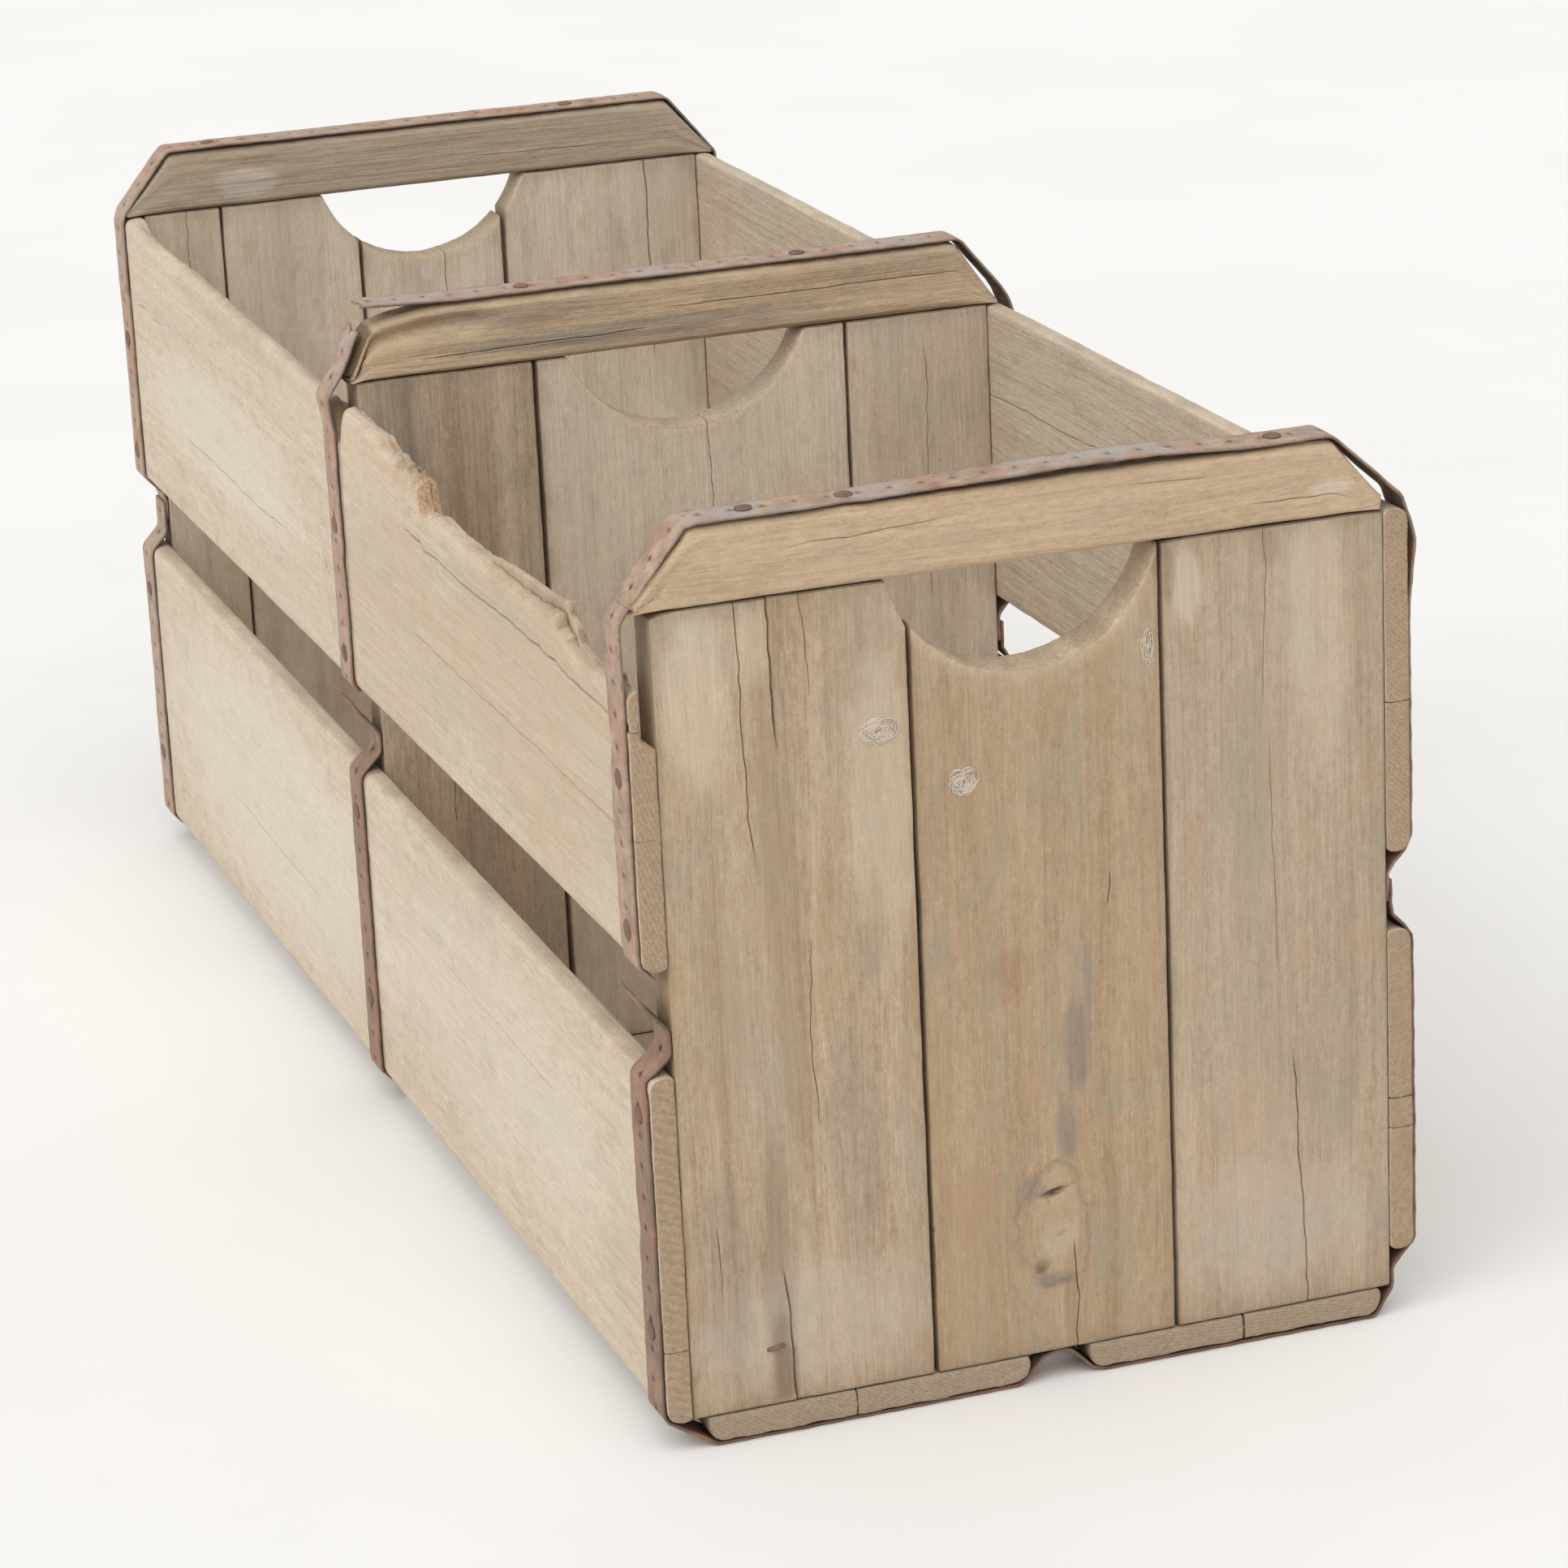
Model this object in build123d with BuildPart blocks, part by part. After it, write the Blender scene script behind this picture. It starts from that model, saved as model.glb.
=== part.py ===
from build123d import *
import os

# A two-compartment bottle crate for the dairy round: three board panels, each capped by a
# handle rail, carry two boards on each side and two under the floor. A flat iron strap is
# nailed round each panel, over its rail and under the floor.
# Frame: X across, Y along the crate with the near panel at -Y, Z up. The origin is the
# middle of the surface that the crate stands on. Lengths are in millimetres.

# Driving dimensions
LENGTH = 852.0
PANEL_WIDTH = 300.0
PANEL_HEIGHT = 327.0
PANEL_THICK = 20.0
RAIL_HEIGHT = 31.0
RAIL_THICK = 22.0
SIDE_THICK = 10.5
FLOOR_THICK = 11.5
STRAP_THICK = 1.5
STRAP_WIDTH = 19.0
EDGE_ROUND = 5.0
FLOOR_ROUND = 7.0

# Levels and half widths that follow from them
FLOOR_Z = STRAP_THICK
PANEL_Z = FLOOR_Z + FLOOR_THICK
RAIL_Z = PANEL_Z + PANEL_HEIGHT
RAIL_TOP = RAIL_Z + RAIL_HEIGHT
PANEL_HALF = PANEL_WIDTH / 2
SIDE_FACE = PANEL_HALF + SIDE_THICK
HALF_LENGTH = LENGTH / 2

# Each panel's middle plane
NEAR_Y = -HALF_LENGTH + RAIL_THICK / 2
MIDDLE_Y = -2.5
FAR_Y = HALF_LENGTH - RAIL_THICK / 2

# The boards of each panel as (name, left edge, right edge), and its hand hole as
# (middle, width, depth)
NEAR_BOARDS = (("left", -150.0, -48.8), ("centre", -47.2, 54.8), ("right", 56.2, 150.0))
MIDDLE_BOARDS = (("left", -150.0, -68.6), ("centre", -66.6, 79.6), ("right", 81.0, 150.0))
FAR_BOARDS = (
    ("outer_left", -150.0, -110.3),
    ("left", -109.3, -37.6),
    ("centre", -36.0, 40.0),
    ("right", 42.4, 150.0),
)
NEAR_HOLE = (-1.0, 110.0, 44.0)
MIDDLE_HOLE = (4.0, 112.0, 38.0)
FAR_HOLE = (-1.0, 108.0, 38.0)
HOLE_ROUND = 2.5

# Outline of each rail in X and Z. The near rail is worn short on the right, and the middle
# rail has rotted away at its upper left.
NEAR_RAIL = (
    (-158.0, RAIL_Z),
    (-133.0, RAIL_TOP),
    (129.5, RAIL_TOP),
    (149.5, RAIL_Z + 5),
    (148.0, RAIL_Z),
)
MIDDLE_RAIL = (
    (-154.0, RAIL_Z),
    (-143.5, RAIL_TOP - 7),
    (-131.0, RAIL_TOP - 3),
    (-112.0, RAIL_TOP),
    (136.0, RAIL_TOP),
    (155.0, RAIL_Z),
)
FAR_RAIL = (
    (-159.5, RAIL_Z),
    (-134.8, RAIL_TOP),
    (134.8, RAIL_TOP),
    (159.5, RAIL_Z),
)
RAIL_ROUND = 2.5

# The side boards' edges
UPPER_Z = PANEL_Z + 186.5
LOWER_RIGHT_Z = PANEL_Z + 16.0
LOWER_RIGHT_TOP = PANEL_Z + 154.0
LOWER_LEFT_NEAR_TOP = PANEL_Z + 144.0
LOWER_LEFT_FAR_TOP = PANEL_Z + 151.5
# What is left of the upper left board's top edge, in Y and Z: it is worn down along the far
# half, torn in front of the middle strap, and split to a splinter towards the near end
BROKEN_EDGE = (
    (402.0, RAIL_Z + 1),
    (396.0, RAIL_Z - 4),
    (250.0, RAIL_Z - 5),
    (120.0, RAIL_Z - 8),
    (-74.0, RAIL_Z - 9),
    (-98.0, RAIL_Z - 14),
    (-137.0, RAIL_Z - 14),
    (-143.0, RAIL_Z - 25),
    (-228.0, RAIL_Z - 24),
    (-334.0, RAIL_Z - 18),
    (-348.0, RAIL_Z - 27),
    (-430.0, RAIL_Z - 27),
)
# The notch that is broken out of its inner face beside the near panel
NOTCH_Z = PANEL_Z + 277.0
NOTCH_Y = -398.0
NOTCH_DEPTH = 5.5

# The floor boards' edges
FLOOR_LEFT = (-144.0, -8.5)
FLOOR_RIGHT = (17.0, 145.0)

# Middle line of a strap: on the side boards, on the panel's edge, on the rail, under the
# floor and against the panel's bottom
OUT = SIDE_FACE + STRAP_THICK / 2
IN = PANEL_HALF + STRAP_THICK / 2
OVER = RAIL_TOP + STRAP_THICK / 2
UNDER = FLOOR_Z - STRAP_THICK / 2
PANEL_UNDER = PANEL_Z - STRAP_THICK / 2
STRAP_BEND = EDGE_ROUND + STRAP_THICK / 2
# How far before and past a board's edge the strap turns, at 45 degrees, into a slot
TURN = 2.6
DIP = OUT - IN - TURN

# Clout nails through the strap, and the long nails that hold each rail
NAIL_RADIUS = 1.2
NAIL_LENGTH = 24.0
HEAD_RADIUS = 4.0
HEAD_THICK = 1.2
RAIL_NAIL_RADIUS = 1.7
RAIL_NAIL_LENGTH = 76.0
RAIL_NAIL_HEAD_RADIUS = 3.5
RAIL_NAIL_HEAD_THICK = 1.5
SIDE_NAIL_LEVELS = (275.0, 215.0, 140.0, 50.0)
FLOOR_NAILS = (-120.0, -28.0, 36.0, 122.0)
NEAR_TOP_NAILS = (-108.0, -68.0, 108.0)
MIDDLE_TOP_NAILS = (-69.0, 62.0)
FAR_TOP_NAILS = (-112.0, 82.0)
NEAR_RAIL_NAILS = (-124.0, -88.0, 84.0, 122.0)
MIDDLE_RAIL_NAILS = (-104.0, -84.0, 88.0, 120.0)
FAR_RAIL_NAILS = (-128.0, -84.0, 66.0, 118.0)

# A stray nail bent over on the near panel's left board
BENT_NAIL_RADIUS = 1.0
BENT_NAIL_X = -118.0
BENT_NAIL_Z = PANEL_Z + 27.0
BENT_NAIL_DEPTH = 14.0
BENT_NAIL_ARM = 9.0

os.makedirs("parts", exist_ok=True)


def across(y):
    """The XZ plane at y, facing the near end."""
    return Plane(origin=(0, y, 0), x_dir=(1, 0, 0), z_dir=(0, -1, 0))


def save(builder, name):
    """Labels a finished piece and writes it to its own file."""
    builder.part.label = name
    export_step(builder.part, f"parts/{name}.step")


def side_nail_places(y):
    """Planes on the strap's outer face at each side nail, facing outwards."""
    face = SIDE_FACE + STRAP_THICK
    return [
        Plane(origin=(side * face, y, z), x_dir=(0, 1, 0), z_dir=(side, 0, 0))
        for side in (-1, 1)
        for z in SIDE_NAIL_LEVELS
    ]


def top_nail_places(y, spots):
    """Planes on top of the strap at each nail in the rail, facing up."""
    return [Plane(origin=(x, y, RAIL_TOP + STRAP_THICK), z_dir=(0, 0, 1)) for x in spots]


def floor_nail_places(y):
    """Planes just inside the strap under the floor, facing down: these heads lie flush."""
    return [Plane(origin=(x, y, HEAD_THICK), z_dir=(0, 0, -1)) for x in FLOOR_NAILS]


def rail_nail_places(y, spots):
    """Planes just inside the rail's top at each long nail, facing up."""
    level = RAIL_TOP - RAIL_NAIL_HEAD_THICK
    return [Plane(origin=(x, y, level), z_dir=(0, 0, 1)) for x in spots]


def clout_places(y, top_spots):
    return side_nail_places(y) + top_nail_places(y, top_spots) + floor_nail_places(y)


def nails(places, radius, length, head_radius, head_thick, mode=Mode.ADD):
    """A round-headed nail at each place, its head standing on the plane."""
    with Locations(*places):
        Cylinder(radius, length, align=(Align.CENTER, Align.CENTER, Align.MAX), mode=mode)
        Cylinder(
            head_radius, head_thick, align=(Align.CENTER, Align.CENTER, Align.MIN), mode=mode
        )


def clouts(places, mode=Mode.ADD):
    nails(places, NAIL_RADIUS, NAIL_LENGTH, HEAD_RADIUS, HEAD_THICK, mode)


def rail_nails(places, mode=Mode.ADD):
    nails(
        places,
        RAIL_NAIL_RADIUS,
        RAIL_NAIL_LENGTH,
        RAIL_NAIL_HEAD_RADIUS,
        RAIL_NAIL_HEAD_THICK,
        mode,
    )


# Panel boards


def hole_radius(hole):
    """Radius of the arc that is as wide and as deep as the hand hole."""
    half_width = hole[1] / 2
    depth = hole[2]
    return (half_width**2 + depth**2) / (2 * depth)


def panel_board(name, y, left, right, hole, clout_spots, rail_spots):
    """One upright board of a panel, with its share of the hand hole and its nail holes."""
    radius = hole_radius(hole)
    centre_z = RAIL_Z - hole[2] + radius
    with BuildPart() as board:
        with BuildSketch(across(y - PANEL_THICK / 2)):
            with Locations(((left + right) / 2, PANEL_Z + PANEL_HEIGHT / 2)):
                Rectangle(right - left, PANEL_HEIGHT)
            with Locations((hole[0], centre_z)):
                Circle(radius, mode=Mode.SUBTRACT)
        extrude(amount=-PANEL_THICK)
        rim = board.edges().filter_by(GeomType.CIRCLE)
        if rim:
            fillet(rim, HOLE_ROUND)
        clouts(clout_spots, Mode.SUBTRACT)
        rail_nails(rail_spots, Mode.SUBTRACT)
        if name == "near_board_left":
            bent_nail(Mode.SUBTRACT)
    save(board, name)


def bent_nail(mode=Mode.ADD):
    """A nail driven into the near panel's face and bent over flat, half sunk in it."""
    face = NEAR_Y - PANEL_THICK / 2
    shank = Plane(origin=(BENT_NAIL_X, face, BENT_NAIL_Z), z_dir=(0, 1, 0))
    arm = Plane(origin=(BENT_NAIL_X, face, BENT_NAIL_Z), z_dir=(1, 0, 0))
    with Locations(shank):
        Cylinder(
            BENT_NAIL_RADIUS,
            BENT_NAIL_DEPTH,
            align=(Align.CENTER, Align.CENTER, Align.MIN),
            mode=mode,
        )
        Sphere(BENT_NAIL_RADIUS, mode=mode)
    with Locations(arm):
        Cylinder(
            BENT_NAIL_RADIUS,
            BENT_NAIL_ARM,
            align=(Align.CENTER, Align.CENTER, Align.MIN),
            mode=mode,
        )


# Handle rails


def handle_rail(name, y, outline, clout_spots, rail_spots):
    """The bar across a panel's top, its upper corners cut off at a slant."""
    with BuildPart() as rail:
        with BuildSketch(across(y - RAIL_THICK / 2)):
            with BuildLine():
                Polyline(*outline, close=True)
            make_face()
        extrude(amount=-RAIL_THICK)
        top_corners = rail.edges().filter_by(Axis.Y).group_by(Axis.Z)[-1]
        fillet(top_corners, EDGE_ROUND)
        fillet(rail.faces().sort_by(Axis.Z)[0].edges().filter_by(Axis.X), RAIL_ROUND)
        clouts(clout_spots, Mode.SUBTRACT)
        rail_nails(rail_spots, Mode.SUBTRACT)
    save(rail, name)


# Side boards


def side_board(name, side, bottom, near_top, far_top, clout_spots, broken=False):
    """A board along one side, rounded on its outer edges, which may widen to one end."""
    with BuildPart() as board:
        with BuildSketch(Plane.YZ.offset(side * PANEL_HALF)):
            with BuildLine():
                Polyline(
                    (-HALF_LENGTH, bottom),
                    (HALF_LENGTH, bottom),
                    (HALF_LENGTH, far_top),
                    (-HALF_LENGTH, near_top),
                    close=True,
                )
            make_face()
        extrude(amount=side * SIDE_THICK)
        outer_face = board.faces().sort_by(Axis.X)[0 if side < 0 else -1]
        long_edges = outer_face.edges().filter_by(lambda edge: edge.length > HALF_LENGTH)
        fillet(long_edges, EDGE_ROUND)
        if broken:
            with BuildSketch(Plane.YZ.offset(-SIDE_FACE)):
                with BuildLine():
                    above = [(spot, RAIL_Z + 10) for spot in (BROKEN_EDGE[-1][0], BROKEN_EDGE[0][0])]
                    Polyline(*BROKEN_EDGE, *above, close=True)
                make_face()
            extrude(amount=SIDE_THICK, mode=Mode.SUBTRACT)
            with Locations((-PANEL_HALF, NOTCH_Y, NOTCH_Z)):
                Box(
                    NOTCH_DEPTH,
                    HALF_LENGTH,
                    PANEL_HEIGHT,
                    align=(Align.MAX, Align.MAX, Align.MIN),
                    mode=Mode.SUBTRACT,
                )
        clouts(clout_spots, Mode.SUBTRACT)
    save(board, name)


# Floor boards


def floor_board(name, edges, clout_spots):
    """A board under the whole length of the crate, its lower edges rounded."""
    left, right = edges
    with BuildPart() as board:
        with BuildSketch(across(-HALF_LENGTH)) as profile:
            with Locations(((left + right) / 2, FLOOR_Z + FLOOR_THICK / 2)):
                Rectangle(right - left, FLOOR_THICK)
            fillet(profile.vertices().group_by(Axis.Y)[0], FLOOR_ROUND)
        extrude(amount=-LENGTH)
        clouts(clout_spots, Mode.SUBTRACT)
    save(board, name)


# Straps


def strap(name, y, path, clout_spots):
    """A flat iron strap bent along path, its middle line in X and Z."""
    with BuildPart() as band:
        with BuildSketch(across(y - STRAP_WIDTH / 2)):
            with BuildLine():
                line = FilletPolyline(*path, radius=STRAP_BEND)
            trace(line, line_width=STRAP_THICK)
        extrude(amount=-STRAP_WIDTH)
        clouts(clout_spots, Mode.SUBTRACT)
    save(band, name)


def into_slot(side):
    """Round the upper board's lower edge and in to the panel's edge, where the strap ends."""
    return [
        (side * OUT, UPPER_Z + TURN),
        (side * IN, UPPER_Z - DIP),
        (side * IN, UPPER_Z - DIP - 13),
    ]


def out_of_slot(side, lower_top, lap=STRAP_THICK):
    """From a lap on the upper strap's end, out round the lower board's upper edge."""
    return [
        (side * (IN + lap), UPPER_Z - DIP - 4),
        (side * (IN + lap), lower_top + DIP - lap),
        (side * OUT, lower_top - TURN),
    ]


def under_floor():
    """From the left side round under both floor boards, and up to the lower right board."""
    return [
        (-OUT, PANEL_Z + 1.5),
        (-139.8, UNDER),
        (-12.1, UNDER),
        (-0.6, PANEL_UNDER),
        (9.1, PANEL_UNDER),
        (20.6, UNDER),
        (143.5, UNDER),
        (IN + 0.45, PANEL_Z + 0.2),
        (IN + 0.25, PANEL_Z + 8.3),
        (OUT, LOWER_RIGHT_Z + TURN),
    ]


def lower_left_top(y):
    """Highest level of the lower left board's top edge under a strap at y."""
    share = (y + STRAP_WIDTH + HALF_LENGTH) / LENGTH
    return LOWER_LEFT_NEAR_TOP + share * (LOWER_LEFT_FAR_TOP - LOWER_LEFT_NEAR_TOP)


def torn_end(y, tip):
    """The lower strap's torn end, which curls out of the left slot to tip."""
    lower_top = lower_left_top(y)
    return [
        tip,
        (tip[0] + 5.5, tip[1] - 8),
        (-IN, tip[1] - 17),
        (-IN, lower_top + DIP),
        (-OUT, lower_top - TURN),
    ]


RIGHT_LAP = list(reversed(out_of_slot(1, LOWER_RIGHT_TOP)))

NEAR_UPPER = (
    [(-IN - 3.5, UPPER_Z - 4.4), (-OUT, UPPER_Z + TURN), (-OUT, 337.2)]
    + [(-133.4, OVER), (-60.0, OVER), (20.0, OVER + 2.3), (55.0, OVER + 2.3), (95.0, OVER)]
    + [(129.5, OVER), (158.5, 344.5), (164.25, 327.0), (OUT, 298.0)]
    + into_slot(1)
)
NEAR_LOWER = torn_end(NEAR_Y, (-164.2, 192.0)) + under_floor() + RIGHT_LAP

MIDDLE_UPPER = (
    [(-146.0, OVER + 2), (-120.0, OVER + 0.8), (-100.0, OVER), (137.5, OVER)]
    + [(159.5, 345.0), (164.25, 333.0), (OUT, 308.0)]
    + into_slot(1)
)
MIDDLE_LEFT = (
    [(-158.0, UPPER_Z - 0.7), (-OUT, UPPER_Z + TURN), (-OUT, 318.0)]
    + [(-163.7, 334.0), (-155.0, 346.0), (-150.5, 356.0), (-146.5, 363.5)]
)
MIDDLE_LOWER = torn_end(MIDDLE_Y, (-163.8, 195.0)) + under_floor() + RIGHT_LAP

FAR_UPPER = (
    list(reversed(into_slot(-1)))
    + [(-OUT, 339.7), (-135.4, OVER), (135.4, OVER), (OUT, 339.7)]
    + into_slot(1)
)
FAR_LOWER = out_of_slot(-1, lower_left_top(FAR_Y)) + under_floor() + RIGHT_LAP


# The crate

PANELS = (
    ("near", NEAR_Y, NEAR_BOARDS, NEAR_HOLE, NEAR_RAIL, NEAR_TOP_NAILS, NEAR_RAIL_NAILS),
    ("middle", MIDDLE_Y, MIDDLE_BOARDS, MIDDLE_HOLE, MIDDLE_RAIL, MIDDLE_TOP_NAILS, MIDDLE_RAIL_NAILS),
    ("far", FAR_Y, FAR_BOARDS, FAR_HOLE, FAR_RAIL, FAR_TOP_NAILS, FAR_RAIL_NAILS),
)

all_clouts = []
for panel, y, boards, hole, outline, top_nails, long_nails in PANELS:
    panel_clouts = clout_places(y, top_nails)
    long_places = rail_nail_places(y, long_nails)
    all_clouts += panel_clouts
    for board, left, right in boards:
        panel_board(f"{panel}_board_{board}", y, left, right, hole, panel_clouts, long_places)
    handle_rail(f"{panel}_handle_rail", y, outline, panel_clouts, long_places)
    with BuildPart() as strap_nails:
        clouts(panel_clouts)
    save(strap_nails, f"{panel}_strap_nails")
    with BuildPart() as long_rail_nails:
        rail_nails(long_places)
    save(long_rail_nails, f"{panel}_rail_nails")

side_board("side_board_upper_left", -1, UPPER_Z, RAIL_Z, RAIL_Z, all_clouts, broken=True)
side_board(
    "side_board_lower_left", -1, PANEL_Z, LOWER_LEFT_NEAR_TOP, LOWER_LEFT_FAR_TOP, all_clouts
)
side_board("side_board_upper_right", 1, UPPER_Z, RAIL_Z, RAIL_Z, all_clouts)
side_board(
    "side_board_lower_right", 1, LOWER_RIGHT_Z, LOWER_RIGHT_TOP, LOWER_RIGHT_TOP, all_clouts
)
floor_board("floor_board_left", FLOOR_LEFT, all_clouts)
floor_board("floor_board_right", FLOOR_RIGHT, all_clouts)

STRAPS = (
    ("near_strap_upper", NEAR_Y, NEAR_UPPER, NEAR_TOP_NAILS),
    ("near_strap_lower", NEAR_Y, NEAR_LOWER, NEAR_TOP_NAILS),
    ("middle_strap_upper", MIDDLE_Y, MIDDLE_UPPER, MIDDLE_TOP_NAILS),
    ("middle_strap_left", MIDDLE_Y, MIDDLE_LEFT, MIDDLE_TOP_NAILS),
    ("middle_strap_lower", MIDDLE_Y, MIDDLE_LOWER, MIDDLE_TOP_NAILS),
    ("far_strap_upper", FAR_Y, FAR_UPPER, FAR_TOP_NAILS),
    ("far_strap_lower", FAR_Y, FAR_LOWER, FAR_TOP_NAILS),
)
for name, y, path, top_nails in STRAPS:
    strap(name, y, path, clout_places(y, top_nails))

with BuildPart() as stray_nail:
    bent_nail()
save(stray_nail, "bent_nail")
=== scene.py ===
"""Looks of an old wooden milk bottle crate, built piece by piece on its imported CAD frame.

Lengths are in millimetres in the row frame, and become metres as a mesh or camera is made.
"""

import math

import bpy
import numpy as np
from mathutils import Matrix, Vector


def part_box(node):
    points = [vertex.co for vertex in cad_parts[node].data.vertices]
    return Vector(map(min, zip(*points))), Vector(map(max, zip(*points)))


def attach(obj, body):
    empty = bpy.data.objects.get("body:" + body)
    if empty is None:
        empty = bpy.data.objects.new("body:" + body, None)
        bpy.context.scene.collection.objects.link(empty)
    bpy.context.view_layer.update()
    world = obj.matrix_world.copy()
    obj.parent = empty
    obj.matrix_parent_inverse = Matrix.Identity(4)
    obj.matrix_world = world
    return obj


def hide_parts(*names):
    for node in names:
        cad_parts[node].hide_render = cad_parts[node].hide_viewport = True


MM = 0.001

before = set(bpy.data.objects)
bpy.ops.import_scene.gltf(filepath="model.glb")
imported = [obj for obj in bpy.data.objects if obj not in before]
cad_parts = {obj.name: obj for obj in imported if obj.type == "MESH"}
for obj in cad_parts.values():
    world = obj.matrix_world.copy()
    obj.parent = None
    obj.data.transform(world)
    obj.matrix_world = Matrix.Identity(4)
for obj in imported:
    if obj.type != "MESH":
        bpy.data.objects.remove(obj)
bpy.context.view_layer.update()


def box_mm(node):
    """Lowest and highest corners of a CAD node, in millimetres."""
    low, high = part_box(node)
    return np.array(low) / MM, np.array(high) / MM


# ---------------------------------------------------------------------------------------------
# Smooth random values, the same in each run


class Grain:
    """Value noise in two dimensions, drawn from one seed."""

    SIZE = 256

    def __init__(self, seed):
        self.table = np.random.default_rng(seed).uniform(-1, 1, (self.SIZE, self.SIZE))

    def __call__(self, a, b=0.0):
        a, b = np.broadcast_arrays(np.asarray(a, float), np.asarray(b, float))
        a0, b0 = np.floor(a).astype(int), np.floor(b).astype(int)
        fa, fb = a - a0, b - b0
        fa, fb = fa * fa * (3 - 2 * fa), fb * fb * (3 - 2 * fb)

        def pick(i, j):
            return self.table[(a0 + i) % self.SIZE, (b0 + j) % self.SIZE]

        low = pick(0, 0) * (1 - fa) + pick(1, 0) * fa
        high = pick(0, 1) * (1 - fa) + pick(1, 1) * fa
        return low * (1 - fb) + high * fb

    def rough(self, a, b=0.0, octaves=3):
        """A sum of ever finer noise, about -1 to 1."""
        total = sum(self(a * 2**n + 17 * n, b * 2**n + 31 * n) / 2**n for n in range(octaves))
        return total / 1.6


def smooth(value, low, high):
    """0 below low, 1 above high, and a smooth rise between."""
    t = np.clip((np.asarray(value, float) - low) / (high - low), 0, 1)
    return t * t * (3 - 2 * t)


# ---------------------------------------------------------------------------------------------
# Shader graphs


class Graph:
    """A material and short ways to add to its node tree."""

    def __init__(self, name):
        self.material = bpy.data.materials.new(name)
        self.material.use_nodes = True
        self.tree = self.material.node_tree
        self.tree.nodes.clear()
        self.output = self.tree.nodes.new("ShaderNodeOutputMaterial")
        self.shader = self.tree.nodes.new("ShaderNodeBsdfPrincipled")
        self.tree.links.new(self.shader.outputs[0], self.output.inputs["Surface"])
        self.coords = self.tree.nodes.new("ShaderNodeTexCoord")
        self.place = self.coords.outputs["Object"]

    def node(self, kind, inputs=(), **settings):
        made = self.tree.nodes.new("ShaderNode" + kind)
        for key, value in settings.items():
            setattr(made, key, value)
        for key, value in dict(inputs).items():
            self.feed(made.inputs[key], value)
        return made

    def feed(self, socket, value):
        if isinstance(value, bpy.types.NodeSocket):
            self.tree.links.new(value, socket)
        elif socket.type == "RGBA" and len(value) == 3:
            socket.default_value = (*value, 1)
        else:
            socket.default_value = value

    def maths(self, operation, a, b=0.0):
        return self.node("Math", {0: a, 1: b}, operation=operation).outputs[0]

    def times(self, a, b):
        return self.maths("MULTIPLY", a, b)

    def plus(self, a, b):
        return self.maths("ADD", a, b)

    def vector(self, operation, a, b):
        return self.node("VectorMath", {0: a, 1: b}, operation=operation).outputs[0]

    def blend(self, amount, a, b):
        made = self.node("Mix", data_type="RGBA")
        for index, value in ((0, amount), (6, a), (7, b)):
            self.feed(made.inputs[index], value)
        return made.outputs[2]

    def between(self, value, low, high, to_low=0.0, to_high=1.0):
        inputs = {0: value, 1: low, 2: high, 3: to_low, 4: to_high}
        return self.node("MapRange", inputs, interpolation_type="SMOOTHSTEP").outputs[0]

    def tint(self, colour, value, low, high, amount, other):
        """colour, turning to other by up to amount as value goes from low to high."""
        return self.blend(self.between(value, low, high, 0.0, amount), colour, other)

    def noise(self, vector, scale, detail=3.0, roughness=0.55):
        inputs = {"Vector": vector, "Scale": scale, "Detail": detail, "Roughness": roughness}
        return self.node("TexNoise", inputs).outputs[0]

    def stretch(self, scale, offset=(0, 0, 0), vector=None):
        inputs = {0: vector or self.place, 1: scale, 2: offset}
        return self.node("VectorMath", inputs, operation="MULTIPLY_ADD").outputs[0]

    def ramp(self, value, stops):
        made = self.node("ValToRGB", {0: value})
        points = made.color_ramp.elements
        while len(points) < len(stops):
            points.new(0.5)
        for point, (position, colour) in zip(points, stops):
            point.position = position
            point.color = (*colour, 1)
        return made.outputs[0]

    def painted(self, name):
        """A value that the mesh carries at each vertex."""
        return self.node("Attribute", attribute_name=name).outputs["Fac"]

    def spot(self, centre, size, edge=0.35, seed=0.0):
        """1 in a soft-edged ellipsoid with a ragged rim, 0 outside; centre and size in mm."""
        inverse = [1 / (s * MM) for s in size]
        offset = [-c * MM * i for c, i in zip(centre, inverse)]
        place = self.stretch(inverse, offset)
        reach = self.node("VectorMath", {0: place}, operation="LENGTH").outputs["Value"]
        ragged = self.noise(self.stretch((60, 60, 60), (seed, seed, seed)), 1.0, 4.0, 0.6)
        reach = self.plus(reach, self.times(ragged, 0.9))
        return self.between(reach, 1.45 + edge, 1.45 - edge)

    def bump(self, height, distance, strength=1.0, normal=None):
        inputs = {"Height": height, "Distance": distance, "Strength": strength}
        if normal is not None:
            inputs["Normal"] = normal
        return self.node("Bump", inputs).outputs[0]


# Wood colours, as linear RGB
PALE = (0.64, 0.53, 0.385)
CREAM = (0.76, 0.655, 0.50)
WARM = (0.50, 0.37, 0.24)
BROWN = (0.36, 0.25, 0.15)
UMBER = (0.19, 0.13, 0.08)
GREY = (0.42, 0.36, 0.28)
BLUE_GREY = (0.23, 0.21, 0.185)
DARK = (0.035, 0.025, 0.018)
FRESH = (0.64, 0.43, 0.26)
SPLIT_SHADE = (0.30, 0.17, 0.09)
CHALK = (0.80, 0.76, 0.68)
ORANGE_BROWN = (0.47, 0.305, 0.175)
GREEN_GREY = (0.345, 0.315, 0.235)
SLATE_WOOD = (0.225, 0.20, 0.18)
WEB = (0.72, 0.66, 0.58)
PALE_GREY = (0.56, 0.495, 0.415)
DUST_SHADE = (0.43, 0.33, 0.225)
DUST = (0.76, 0.61, 0.44)


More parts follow.
